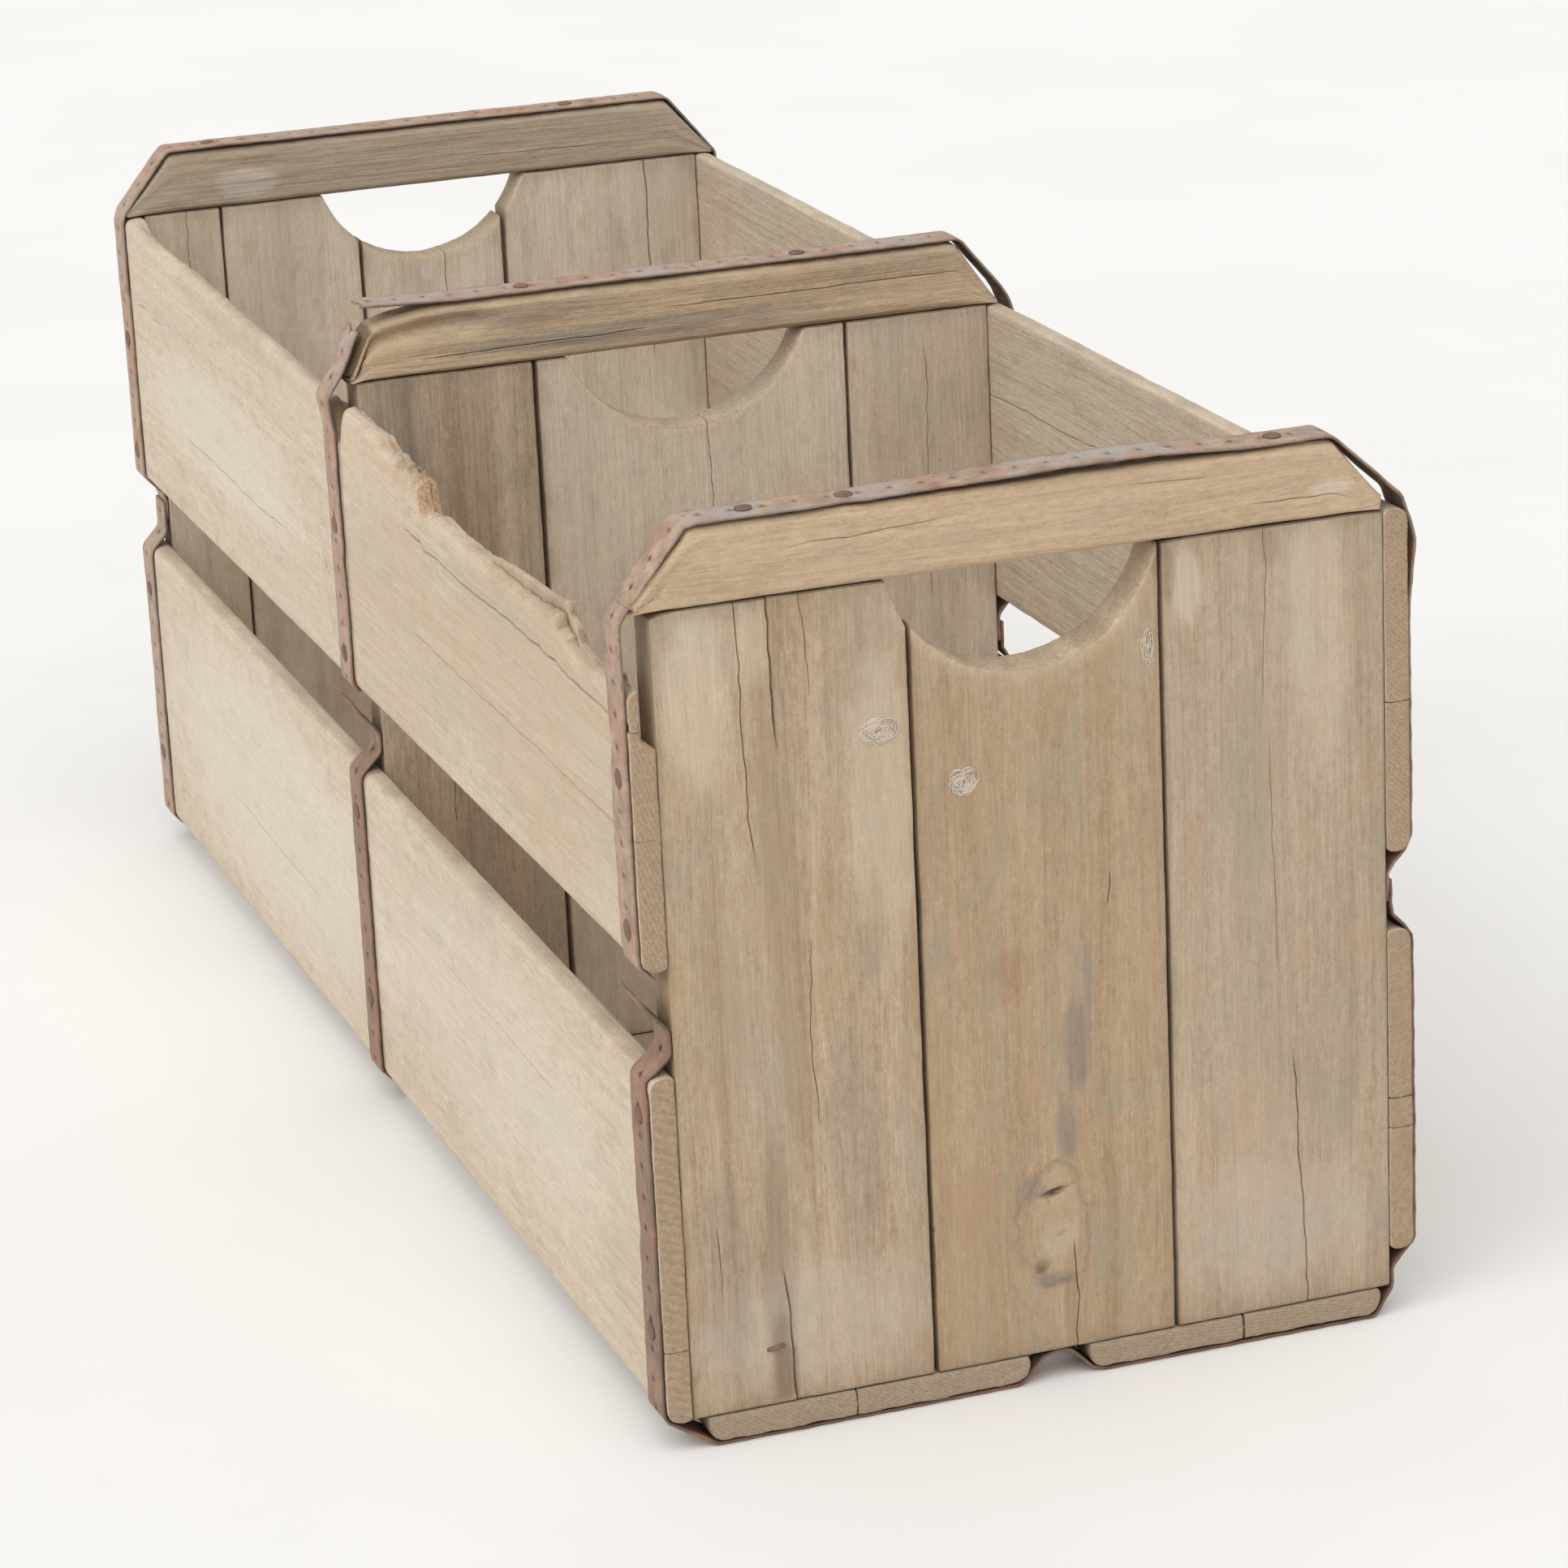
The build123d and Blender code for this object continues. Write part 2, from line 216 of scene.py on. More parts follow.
def shade(colour, share):
    return tuple(c * share for c in colour)


def part_round_knots(graph, knots, axis, place):
    """The grain's coordinates led round each knot, and how far out of each knot a point is."""
    knot_rings = []
    for centre, radius in knots:
        away = graph.vector("SUBTRACT", graph.place, [c * MM for c in centre])
        squeezed = graph.stretch([0.62 if n == axis else 1.0 for n in range(3)], vector=away)
        reach = graph.node("VectorMath", {0: squeezed}, operation="LENGTH").outputs["Value"]
        reach = graph.maths("DIVIDE", reach, radius * MM)
        pull = graph.maths("POWER", 0.32, graph.maths("POWER", reach, 2.0))
        pull = graph.times(pull, -0.9)
        scaled = graph.node("VectorMath", {0: away, "Scale": pull}, operation="SCALE").outputs[0]
        place = graph.vector("ADD", place, scaled)
        knot_rings.append(reach)
    return place, knot_rings


def ring_knot(graph, colour, reach, shift, fine_dirt):
    """A knot's faint rings and its dark broken rim."""
    wobble = graph.maths("SUBTRACT", graph.noise(graph.stretch((90, 90, 90), shift), 1.0, 3.0), 0.5)
    reach = graph.plus(reach, graph.times(wobble, 0.8))
    rippled = graph.maths("SINE", graph.times(reach, 24.0))
    core = graph.between(reach, 0.92, 0.62)
    ringed = graph.times(core, graph.between(rippled, -0.6, 1.0, 0.04, 0.16))
    colour = graph.blend(ringed, colour, BROWN)
    rim = graph.times(graph.between(reach, 0.80, 0.90), graph.between(reach, 1.02, 0.92))
    rim = graph.times(rim, graph.between(fine_dirt, 0.35, 0.65, 0.05, 0.45))
    return graph.blend(rim, colour, UMBER)


def furry_hatch(graph, seed, shift):
    """Fur and slanting growth rings, for sawn ends."""
    turn = (0.5 + seed, 0.4 - seed, 0.6 + seed * 2)
    tilt = graph.node("Mapping", {"Vector": graph.place, "Rotation": turn}).outputs[0]
    wavy = {"Scale": 260.0, "Distortion": 5.0, "Detail": 3.0, "Detail Scale": 1.2}
    hatch = graph.node("TexWave", {"Vector": tilt, **wavy}).outputs["Fac"]
    fluff = graph.noise(graph.stretch((500, 500, 500), shift), 1.0, 5.0, 0.75)
    return fluff, graph.times(hatch, 0.15)


def painted_over(graph, colour, speckle, fluff):
    """Dust, broken wood, dirt with painted shade, and painted shade in cracks and dents, where the mesh
    carries them, over a colour.
    """
    split_tone = graph.ramp(speckle, ((0.36, SPLIT_SHADE), (0.56, FRESH)))
    dust_tone = graph.ramp(fluff, ((0.3, DUST_SHADE), (0.7, DUST)))
    colour = graph.blend(graph.painted("dust"), colour, dust_tone)
    colour = graph.blend(graph.painted("fresh"), colour, split_tone)
    # These values darken with dirt and with painted shade: shadow under the rails and beside a strap,
    # and shade in the board seams
    grime = graph.times(graph.painted("grime"), graph.between(fluff, 0.25, 0.75, 0.55, 1.0))
    colour = graph.blend(grime, colour, UMBER)
    # Painted shade: near black inside the cracks and dents
    return graph.blend(graph.times(graph.painted("crack"), 0.72), colour, DARK)


def wood(
    name, along, light, dark, seed, stripe=0.5, stain=0.35, stain_colour=BROWN, weather=0.3,
    weather_colour=GREY, wander=3.0, marks=(), knots=(), pitch=2.6, end_colour=None, mottle=0.25,
    browner_back=0.0,
):
    """Bare weathered wood with its grain along one axis.

    stripe is how strong its broad streaks are, stain and weather how much of it is stained or
    greyed, mottle how strong its warm and greenish patches are, and wander how far in mm its
    grain lines stray. marks are (colour, strength, centre, size) patches, knots are (centre,
    radius), pitch is the grain's spacing in mm, and browner_back how much a face towards +Y
    is browner.
    """
    graph = Graph(name)
    axis = "XYZ".index(along)
    shift = (seed * 0.37, seed * 0.73, seed * 0.19)

    def lengthwise(across, lengthways):
        """Feature sizes in mm across and along the grain, as a scale on metres."""
        return [1 / (MM * (lengthways if n == axis else across)) for n in range(3)]

    # The grain's own coordinates: they wander slowly, and part round each knot
    slow = {"Vector": graph.stretch(lengthwise(28, 260), shift), "Scale": 1.0}
    drift = graph.node("TexNoise", {**slow, "Detail": 2.0, "Roughness": 0.5}).outputs["Color"]
    drift = graph.vector("SUBTRACT", drift, (0.5, 0.5, 0.5))
    place = graph.stretch([wander * 4 * MM] * 3, vector=drift)
    place = graph.vector("ADD", place, graph.place)
    place, knot_rings = part_round_knots(graph, knots, axis, place)

    def cloud(across, lengthways, detail, roughness=0.55, extra=0.0, where=None):
        """Noise whose features have a size in mm across and along the grain."""
        scaled = graph.stretch(lengthwise(across, lengthways), [s + extra for s in shift], where)
        return graph.noise(scaled, 1.0, detail, roughness)

    broad = cloud(15, 420, 3.0, where=place)
    rings = cloud(pitch, 260, 2.5, 0.55, 3.3, place)
    fibres = cloud(0.8, 14, 3.0, 0.7, 7.1, place)
    blotches = cloud(42, 90, 5.0, 0.65)
    fine_dirt = cloud(3.0, 6, 5.0, 0.7)
    speckle = cloud(1.1, 1.8, 3.0, 0.7)

    tone = 0.5
    contrasts = (1.2 * stripe, 0.62, 0.70, 0.75, 0.50)
    for layer, contrast in zip((broad, rings, fibres, fine_dirt, speckle), contrasts):
        part = graph.times(graph.maths("SUBTRACT", layer, 0.5), contrast)
        tone = graph.plus(part, tone)
    middle = tuple((a + b) / 2 for a, b in zip(light, dark))
    colour = graph.ramp(tone, ((0.2, dark), (0.5, middle), (0.8, light)))

    colour = graph.tint(colour, blotches, 0.50, 0.72, stain, stain_colour)
    weathered = cloud(30, 190, 3.0, extra=5)
    colour = graph.tint(colour, weathered, 0.45, 0.7, weather, weather_colour)
    patchy = cloud(13, 34, 4.0, 0.6, 9)
    colour = graph.tint(colour, patchy, 0.54, 0.70, mottle, ORANGE_BROWN)
    colour = graph.tint(colour, patchy, 0.46, 0.32, mottle, GREEN_GREY)
    broken_up = graph.between(fibres, 0.3, 0.6, 0.03, 0.22)
    lines = graph.times(graph.between(rings, 0.60, 0.68), broken_up)
    colour = graph.blend(lines, colour, shade(dark, 0.6))
    colour = graph.tint(colour, fine_dirt, 0.58, 0.74, 0.22, UMBER)
    colour = graph.tint(colour, speckle, 0.66, 0.76, 0.35, CREAM)
    colour = graph.tint(colour, speckle, 0.33, 0.25, 0.40, UMBER)

    for count, (tint, strength, centre, size) in enumerate(marks):
        mask = graph.spot(centre, size, seed=seed + 2.7 * count)
        grainy = graph.times(mask, graph.between(rings, 0.3, 0.6, strength, strength * 0.7))
        colour = graph.blend(grainy, colour, tint)
    for reach in knot_rings:
        colour = ring_knot(graph, colour, reach, shift, fine_dirt)

    normal_parts = graph.node("SeparateXYZ", {0: graph.coords.outputs["Normal"]}).outputs
    if browner_back:
        back = graph.between(normal_parts[1], 0.3, 0.7, 0.0, browner_back)
        colour = graph.blend(back, colour, WARM)

    # End grain: darker, furry and hatched by the growth rings
    facing = graph.maths("ABSOLUTE", normal_parts[axis])
    is_end = graph.between(facing, 0.40, 0.66)
    fluff, hatched = furry_hatch(graph, seed, shift)
    end_tone = graph.plus(hatched, graph.times(fluff, 0.8))
    end_light = end_colour or shade(middle, 0.85)
    end_dark = shade(end_light, 0.60)
    ends = graph.ramp(end_tone, ((0.30, end_dark), (0.78, end_light)))
    colour = graph.blend(is_end, colour, ends)

    colour = painted_over(graph, colour, speckle, fluff)
    graph.feed(graph.shader.inputs["Base Color"], colour)

    graph.feed(graph.shader.inputs["Roughness"], graph.between(blotches, 0.3, 0.7, 0.74, 0.92))
    graph.shader.inputs["Specular IOR Level"].default_value = 0.25
    relief = graph.plus(graph.times(rings, 0.7), graph.times(fibres, 0.35))
    relief = graph.plus(relief, graph.times(fluff, 0.25))
    relief = graph.plus(relief, graph.times(fine_dirt, 0.4))
    normal = graph.bump(relief, 0.0014, 0.7)
    furry = graph.times(graph.plus(fluff, hatched), is_end)
    normal = graph.bump(furry, 0.0009, 0.5, normal)
    graph.feed(graph.shader.inputs["Normal"], normal)
    return graph.material


# Rust colours
PINK_RUST = (0.44, 0.31, 0.23)
SLATE = (0.43, 0.40, 0.37)
BEIGE_RUST = (0.44, 0.315, 0.245)
DARK_RUST = (0.32, 0.20, 0.14)
RUST_BLOOM = (0.50, 0.20, 0.07)
RUST_PIT = (0.075, 0.04, 0.028)
RUST_GRIME = (0.05, 0.028, 0.02)
FRESH_RUST = (0.44, 0.19, 0.08)


def iron(name, seed, base, patch, patch_amount, bright=0.25, pits=0.5, patch_above=0.0):
    """Rusted sheet iron: a pink-brown crust with patches, orange blooms and dark pits.

    The patches lie above patch_above, a level in mm.
    """
    graph = Graph(name)
    shift = (seed, seed * 2.3, seed * 0.7)

    def mottle(size, detail, extra=0.0):
        scale = [1 / (size * MM)] * 3
        return graph.noise(graph.stretch(scale, [s + extra for s in shift]), 1.0, detail, 0.65)

    crust = mottle(9, 5.0)
    colour = graph.ramp(crust, ((0.3, shade(base, 0.62)), (0.52, base), (0.72, shade(base, 1.3))))
    cool = graph.between(mottle(34, 3.0, 9.0), 0.46, 0.60, 0.0, patch_amount)
    level = graph.node("SeparateXYZ", {0: graph.place}).outputs[2]
    above = graph.between(level, (patch_above - 8) * MM, (patch_above + 8) * MM)
    cool = graph.times(cool, above)
    colour = graph.blend(cool, colour, patch)
    bloom = graph.between(mottle(13, 4.0, 4.0), 0.58, 0.70, 0.0, bright)
    colour = graph.blend(bloom, colour, RUST_BLOOM)
    speck = mottle(2.2, 3.0, 6.0)
    colour = graph.tint(colour, speck, 0.58, 0.72, pits, RUST_PIT)
    colour = graph.blend(graph.painted("grime"), colour, RUST_GRIME)
    colour = graph.blend(graph.painted("fresh"), colour, FRESH_RUST)
    graph.feed(graph.shader.inputs["Base Color"], colour)
    graph.shader.inputs["Metallic"].default_value = 0.12
    graph.feed(graph.shader.inputs["Roughness"], graph.between(crust, 0.3, 0.7, 0.62, 0.88))
    relief = graph.plus(graph.times(crust, 0.6), graph.times(speck, 0.4))
    graph.feed(graph.shader.inputs["Normal"], graph.bump(relief, 0.0008, 0.7))
    return graph.material


def on_face(axis, level, rows, depth=30):
    """Marks on a flat face, from (colour, strength, across, up, half width, half height) rows.

    axis is "X" or "Y", where the face looks, and level its place along that axis.
    """
    marks = []
    for colour, strength, across, up, width, height in rows:
        centre = (across, level, up) if axis == "Y" else (level, across, up)
        size = (width, depth, height) if axis == "Y" else (depth, width, height)
        marks.append((colour, strength, centre, size))
    return marks


# ---------------------------------------------------------------------------------------------
# Meshes


def make_piece(name, points, faces, material, stands_for, painted=None, body="root"):
    """A mesh from points in mm that rides on the crate and replaces its CAD node."""
    mesh = bpy.data.meshes.new(name)
    mesh.from_pydata((np.asarray(points) * MM).tolist(), [], [tuple(map(int, f)) for f in faces])
    for key in ("crack", "grime", "fresh", "dust"):
        values = (painted or {}).get(key)
        if values is None:
            values = np.zeros(len(points))
        layer = mesh.attributes.new(key, "FLOAT", "POINT")
        layer.data.foreach_set("value", np.clip(values, 0, 1).astype(np.float32))
    mesh.polygons.foreach_set("use_smooth", [True] * len(mesh.polygons))
    mesh.materials.append(material)
    piece = bpy.data.objects.new(name, mesh)
    bpy.context.scene.collection.objects.link(piece)
    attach(piece, body)
    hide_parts(*stands_for)
    return piece


LAYERS = 4  # of cells through a board


def block_faces(across, lengthways, flip):
    """Vertex numbers and quads of the skin of a block of cells."""
    shape = (across + 1, lengthways + 1, LAYERS + 1)
    i, j, k = np.indices(shape)
    skin = (i == 0) | (i == across) | (j == 0) | (j == lengthways) | (k == 0) | (k == LAYERS)
    numbers = -np.ones(shape, int)
    numbers[skin] = np.arange(skin.sum())

    def quads(grid, turned):
        cells = (grid[:-1, :-1], grid[1:, :-1], grid[1:, 1:], grid[:-1, 1:])
        faces = np.stack(cells, -1).reshape(-1, 4)
        return faces[:, ::-1] if turned else faces

    faces = [
        quads(numbers[:, :, -1], flip),
        quads(numbers[:, :, 0], not flip),
        quads(numbers[-1], flip),
        quads(numbers[0], not flip),
        quads(numbers[:, 0], flip),
        quads(numbers[:, -1], not flip),
    ]
    return skin, np.concatenate(faces)


class Crack:
    """An open split along the grain.

    path holds (place along, place across) points, width and depth are in mm, and an end that
    is open runs out at the board's edge, where the others fade away.
    """

    def __init__(self, path, width, depth, side="front", open_start=False, open_end=False, step=0.0):
        self.path = sorted(path)
        self.centre = sum(p[1] for p in path) / len(path)
        self.half = width * 0.28
        self.depth = depth
        self.side = side
        self.open_start = open_start
        self.open_end = open_end
        self.step = step

    def columns(self):
        """Cell edges across the crack, the outermost to keep its shading to itself."""
        near = [self.half * n for n in (0.3, 0.8, 1.5)]
        reaches = near + [near[-1] + 0.35, near[-1] + 0.9]
        return [self.centre + side * reach for side in (-1, 1) for reach in reaches]

    def shift(self, v):
        places, offsets = zip(*self.path)
        return np.interp(v, places, offsets) - self.centre

    def strength(self, v):
        start, end = self.path[0][0], self.path[-1][0]
        fade = min(25.0, (end - start) / 3)
        rise = 1.0 if self.open_start else smooth(v, start, start + fade)
        fall = 1.0 if self.open_end else 1 - smooth(v, end - fade, end)
        return rise * fall

    def profile(self, u):
        return np.clip(1.45 - np.abs(u - self.centre) / self.half, 0, 1)


def spaced(low, high, step, corner, extras=()):
    """Places from low to high, closer at both ends and at the extras."""
    count = max(2, int(round((high - low) / step)))
    regular = np.linspace(low, high, count + 1)[1:-1]
    ends = [corner * n for n in (0, 0.12, 0.4, 1.0, 1.35)]
    special = [low + e for e in ends] + [high - e for e in ends]
    special += [x for group in extras for x in group if low + 0.2 < x < high - 0.2]
    special = np.array(sorted(special))
    special = special[np.concatenate([[True], np.diff(special) > 0.04])]
    clear = np.abs(regular[:, None] - special[None, :]).min(1) > step * 0.4
    return np.unique(np.round(np.concatenate([regular[clear], special]), 4))


def rounding(distance, radius):
    """How far a rounded edge has drawn in at a distance from the edge."""
    d = np.clip(distance, 0, radius)
    return radius - np.sqrt(np.maximum(radius**2 - (radius - d) ** 2, 0))


def open_cracks(cracks, u, v, edge_u, grain):
    """Where cracks carry the cells along u, how deep they open, and how black they are: painted shade
    inside them.
    """
    new_u = u.copy()
    opened = {"front": np.zeros_like(u), "back": np.zeros_like(u)}
    blackness = {"front": np.zeros_like(u), "back": np.zeros_like(u)}
    for number, crack in enumerate(cracks):
        wiggle = 0.6 * grain(v / 17, 3.0 + number) + 0.35 * grain(v / 5, 9.0 + number)
        reach = np.exp(-(((u - crack.centre) / 7) ** 2)) * smooth(edge_u, 0, 4)
        new_u += (crack.shift(v) + wiggle * smooth(edge_u, 0, 3)) * reach
        uneven = np.clip(0.75 + 0.5 * grain.rough(v / 12, 77.0 + number, 3), 0.15, 1)
        cut = crack.profile(u) * crack.strength(v) * uneven
        # One lip of the crack stands a little lower
        past = u - crack.centre
        lip = crack.step * crack.strength(v) * smooth(past, -0.3, 0.3) * (1 - smooth(past, 4, 14))
        for side in ("front", "back"):
            if crack.side in (side, "both"):
                opened[side] += crack.depth * cut
                blackness[side] = np.maximum(blackness[side], cut)
                opened[side] += lip
    return new_u, opened, blackness


def timber(
    node, axes, material, seed, step=(2.0, 4.0), corner=(1.2, 1.2), cracks=(), reshape=None,
    carve=None, paint=None, rough=0.25, edge_wear=0.35, bounds=None, seam_shade_and_dirt=0.3, slant=None,
):
    """A worn board: a block of fine cells laid over its CAD node's box.

    axes are the numbers of the axes across it, along it and through it. reshape moves (u, v)
    across and along, carve gives how far the front and back are cut in, and paint adds values
    for the material. corner is the rounding at the sides and ends. slant moves cells across by
    their depth in the board, 0 at the front, which is the lower end of through, to 1 at the back.
    """
    across, along, through = axes
    grain = Grain(seed)
    low, high = bounds or box_mm(node)
    cuts = [c.columns() for c in cracks]
    u_places = spaced(low[across], high[across], step[0], corner[0], cuts)
    v_places = spaced(low[along], high[along], step[1], corner[1])
    u, v = np.meshgrid(u_places, v_places, indexing="ij")

    edge_u = np.minimum(u - low[across], high[across] - u)
    new_u, opened, blackness = open_cracks(cracks, u, v, edge_u, grain)

    # Worn arrises and an uneven outline
    edge_v = np.minimum(v - low[along], high[along] - v)
    toward = np.where(u - low[across] < high[across] - u, 1.0, -1.0)
    nibble = edge_wear * np.clip(1 + grain.rough(v / 13, 40.0 + toward, 3), 0, None)
    new_u = new_u + toward * nibble * np.exp(-edge_u / 3)
    toward_v = np.where(v - low[along] < high[along] - v, 1.0, -1.0)
    nibble_v = edge_wear * np.clip(1 + grain.rough(u / 9, 60.0 + toward_v, 3), 0, None)
    new_v = v + toward_v * nibble_v * np.exp(-edge_v / 3)
    if reshape:
        new_u, new_v = reshape(new_u, new_v, u, v, grain)

    worn = rounding(edge_u, corner[0]) + rounding(edge_v, corner[1])
    faces_in = {}
    for number, side in enumerate(("front", "back")):
        wave = rough * (1 + grain.rough(u / 11, v / 90 + 20 * number, 3)) * 0.6
        arris = worn * (1 + 0.5 * grain.rough(v / 9, u / 9 + 7 * number, 2))
        faces_in[side] = wave + np.clip(arris, 0, None) + opened[side]
    if carve:
        front, back = carve(u, v, new_u, new_v, grain)
        faces_in["front"] = faces_in["front"] + front
        faces_in["back"] = faces_in["back"] + back
    thick = high[through] - low[through]
    share = np.minimum(1, (thick - 0.6) / np.maximum(faces_in["front"] + faces_in["back"], 1e-6))
    w_front = low[through] + faces_in["front"] * share
    w_back = high[through] - faces_in["back"] * share

    flip = np.linalg.det(np.eye(3)[list(axes)]) < 0
    skin, faces = block_faces(len(u_places) - 1, len(v_places) - 1, flip)
    level = np.linspace(0, 1, LAYERS + 1)
    points = np.zeros((*u.shape, LAYERS + 1, 3))
    points[..., across] = new_u[..., None]
    if slant:
        points[..., across] += slant(u[..., None], v[..., None], level, grain)
    points[..., along] = new_v[..., None]
    points[..., through] = w_front[..., None] * (1 - level) + w_back[..., None] * level

    # Painted shade inside the cracks: on both faces, and a little less where they run over the board's
    # edges
    crack_value = np.zeros((*u.shape, LAYERS + 1))
    crack_value[..., 0] = blackness["front"]
    crack_value[..., -1] = blackness["back"]
    end_crack = np.maximum(blackness["front"], blackness["back"])
    for k in range(1, LAYERS):
        crack_value[..., k] = end_crack * 0.8
    grime = np.zeros((*u.shape, LAYERS + 1))
    # Darker along each board's long edges: painted shade in the seams between boards, and dirt
    seam = seam_shade_and_dirt * (np.exp(-edge_u / 0.9) + 0.25 * np.exp(-edge_u / 6))
    grime += (seam * (0.7 + 0.5 * grain(v / 21, 5.0)))[..., None]
    empty = np.zeros((*u.shape, LAYERS + 1))
    values = {"crack": crack_value, "grime": grime, "fresh": empty, "dust": empty}
    if paint:
        for key, extra in paint(u, v, new_u, new_v, grain).items():
            values[key] = values[key] + (extra[..., None] if extra.ndim == 2 else extra)
    painted = {key: value[skin] for key, value in values.items()}
    return make_piece(f"{node}_worn", points[skin], faces, material, [node], painted)


# ---------------------------------------------------------------------------------------------
# Panels

near_low, near_high = box_mm("near_board_left")
PANEL_FOOT, PANEL_TOP = near_low[2], near_high[2]

# Each hand hole as (middle, width, depth)
HOLES = {"near": (-1.0, 111.0, 41.5), "middle": (4.0, 112.0, 38.0), "far": (-1.0, 108.0, 38.0)}


def hole_dip(x, hole):
    """How far the hand hole's edge lies below the panel's top at x."""
    middle, width, depth = hole
    radius = ((width / 2) ** 2 + depth**2) / (2 * depth)
    inside = np.clip(radius**2 - (x - middle) ** 2, 0, None)
    return np.clip(np.sqrt(inside) - (radius - depth), 0, None)


def panel_board(
    panel, board, look, cracks=(), seed=1, tops=0.0, patches=None, dents=(), step=(2.0, 2.4)
):
    """One upright board of a panel, scooped where the hand hole crosses it.

    dents are (x, z, half width, half height, depth) hollows in its front.
    """
    node = f"{panel}_board_{board}"
    hole = HOLES[panel]

    low, high = box_mm(node)
    high[2] = PANEL_TOP

    def reshape(u, v, base_u, base_v, grain):
        dip = hole_dip(base_u, hole)
        fuzz = 0.5 * grain.rough(base_u / 4, 2.0, 3) * smooth(dip, 0.5, 5)
        share = smooth(base_v, PANEL_TOP - 95, PANEL_TOP)
        edge = smooth(base_v, PANEL_TOP - 12, PANEL_TOP)
        side = np.minimum(base_u - low[0], high[0] - base_u)
        bevel = tops * np.exp(-side / 3.5)
        return u, v - dip * share - (np.abs(fuzz) + bevel) * edge

    def pressed_in(x, z):
        """How deep the dents are at x and z, and how dark their painted shade is."""
        depth = np.zeros_like(x)
        shade = np.zeros_like(x)
        for dent_x, dent_z, half_x, half_z, deep in dents:
            reach = ((x - dent_x) / half_x) ** 2 + ((z - dent_z - 0.2 * (x - dent_x)) / half_z) ** 2
            depth += deep * np.exp(-reach)
            shade = np.maximum(shade, np.exp(-(reach**2)) * min(1, deep / 1.5))
        return depth, shade

    def carve(u, v, new_u, new_v, grain):
        dip = hole_dip(u, hole)
        rim = rounding(PANEL_TOP - v, 2.0) * smooth(dip, 0.5, 4)
        worn = rim * (1 + 0.5 * grain.rough(u / 5, v / 6, 2))
        return worn + pressed_in(u, v)[0], worn

    def paint(u, v, new_u, new_v, grain):
        # foot darkens the board towards its foot, and under is painted shadow just below the rail along
        # the panel's top, outside the hand hole
        foot = 0.5 * np.exp(-(v - PANEL_FOOT) / 5)
        under = 0.45 * np.exp(-(PANEL_TOP - v) / 4) * (hole_dip(u, hole) < 0.5)
        rim = smooth(hole_dip(u, hole), 0.5, 3) * np.exp(-(PANEL_TOP - v) / 5)
        extra = {"grime": foot + under, "dust": 0.9 * rim * (0.8 + 0.4 * grain(u / 6, v / 6))}
        # The dents' painted shade goes on the front with the cracks' painted shade
        extra["crack"] = np.zeros((*u.shape, LAYERS + 1))
        extra["crack"][..., 0] = pressed_in(u, v)[1]
        if patches:
            for key, value in patches(u, v, new_u, new_v, grain).items():
                extra[key] = extra.get(key, 0) + value
        return extra

    timber(
        node, (0, 2, 1), look, seed, cracks=cracks, reshape=reshape, carve=carve,
        paint=paint, step=step, corner=(0.8, 1.2), edge_wear=0.18, bounds=(low, high), seam_shade_and_dirt=0.45,
    )


def board_look(panel, board, light, dark, seed, **settings):
    return wood(f"{panel}_{board}_board_wood", "Z", light, dark, seed, **settings)


FACE = -425.0  # the near panel's outer face, in Y

near_left_look = board_look(
    "near", "left", (0.585, 0.46, 0.33), (0.345, 0.24, 0.15), 3.1,
    stripe=0.6, stain=0.30, weather=0.40, wander=5.0, mottle=0.40,
    marks=on_face("Y", FACE, (
        (CREAM, 0.50, -134, 305, 12, 36),
        (CREAM, 0.35, -62, 250, 14, 60),
        (CREAM, 0.30, -110, 322, 7, 16),
        (PALE_GREY, 0.50, -100, 45, 45, 24),
        (SLATE_WOOD, 0.25, -70, 195, 6, 12),
        (BROWN, 0.50, -108, 262, 5, 55),
        (BROWN, 0.50, -101, 190, 6, 75),
        (BROWN, 0.35, -130, 180, 9, 50),
        (BROWN, 0.40, -84, 215, 5, 16),
        (BROWN, 0.35, -66, 205, 4, 20),
        (UMBER, 0.30, -112, 75, 7, 50),
        (BLUE_GREY, 0.25, -78, 120, 11, 50),
        (BLUE_GREY, 0.30, -134, 70, 11, 40),
        (UMBER, 0.45, -112, 34, 4, 18),
    )),
)
near_centre_look = board_look(
    "near", "centre", (0.525, 0.392, 0.265), (0.345, 0.235, 0.145), 5.4,
    stripe=0.45, stain=0.25, weather=0.18, wander=4.0, pitch=3.4, mottle=0.45,
    knots=(((3.5, FACE, 66), 17),),
    marks=on_face("Y", FACE, (
        (SLATE_WOOD, 0.70, 16, 140, 6, 19),
        (SLATE_WOOD, 0.50, 21, 168, 2, 16),
        (SLATE_WOOD, 0.65, 10, 106, 5.5, 13),
        (SLATE_WOOD, 0.55, -6, 84, 6, 5),
        (UMBER, 0.65, -2, 50, 3, 3),
        (SLATE_WOOD, 0.50, 4, 44, 10, 3.5),
        (PALE_GREY, 0.45, 6, 60, 8, 8),
        (ORANGE_BROWN, 0.40, -31, 84, 11, 14),
        (GREY, 0.35, 44, 300, 8, 20),
        ((0.36, 0.17, 0.08), 0.30, -12, 175, 8, 11),
        (UMBER, 0.35, 10, 34, 3, 22),
        (BROWN, 0.30, -30, 60, 16, 50),
        (UMBER, 0.55, 54, 334, 4, 7),
    )),
)
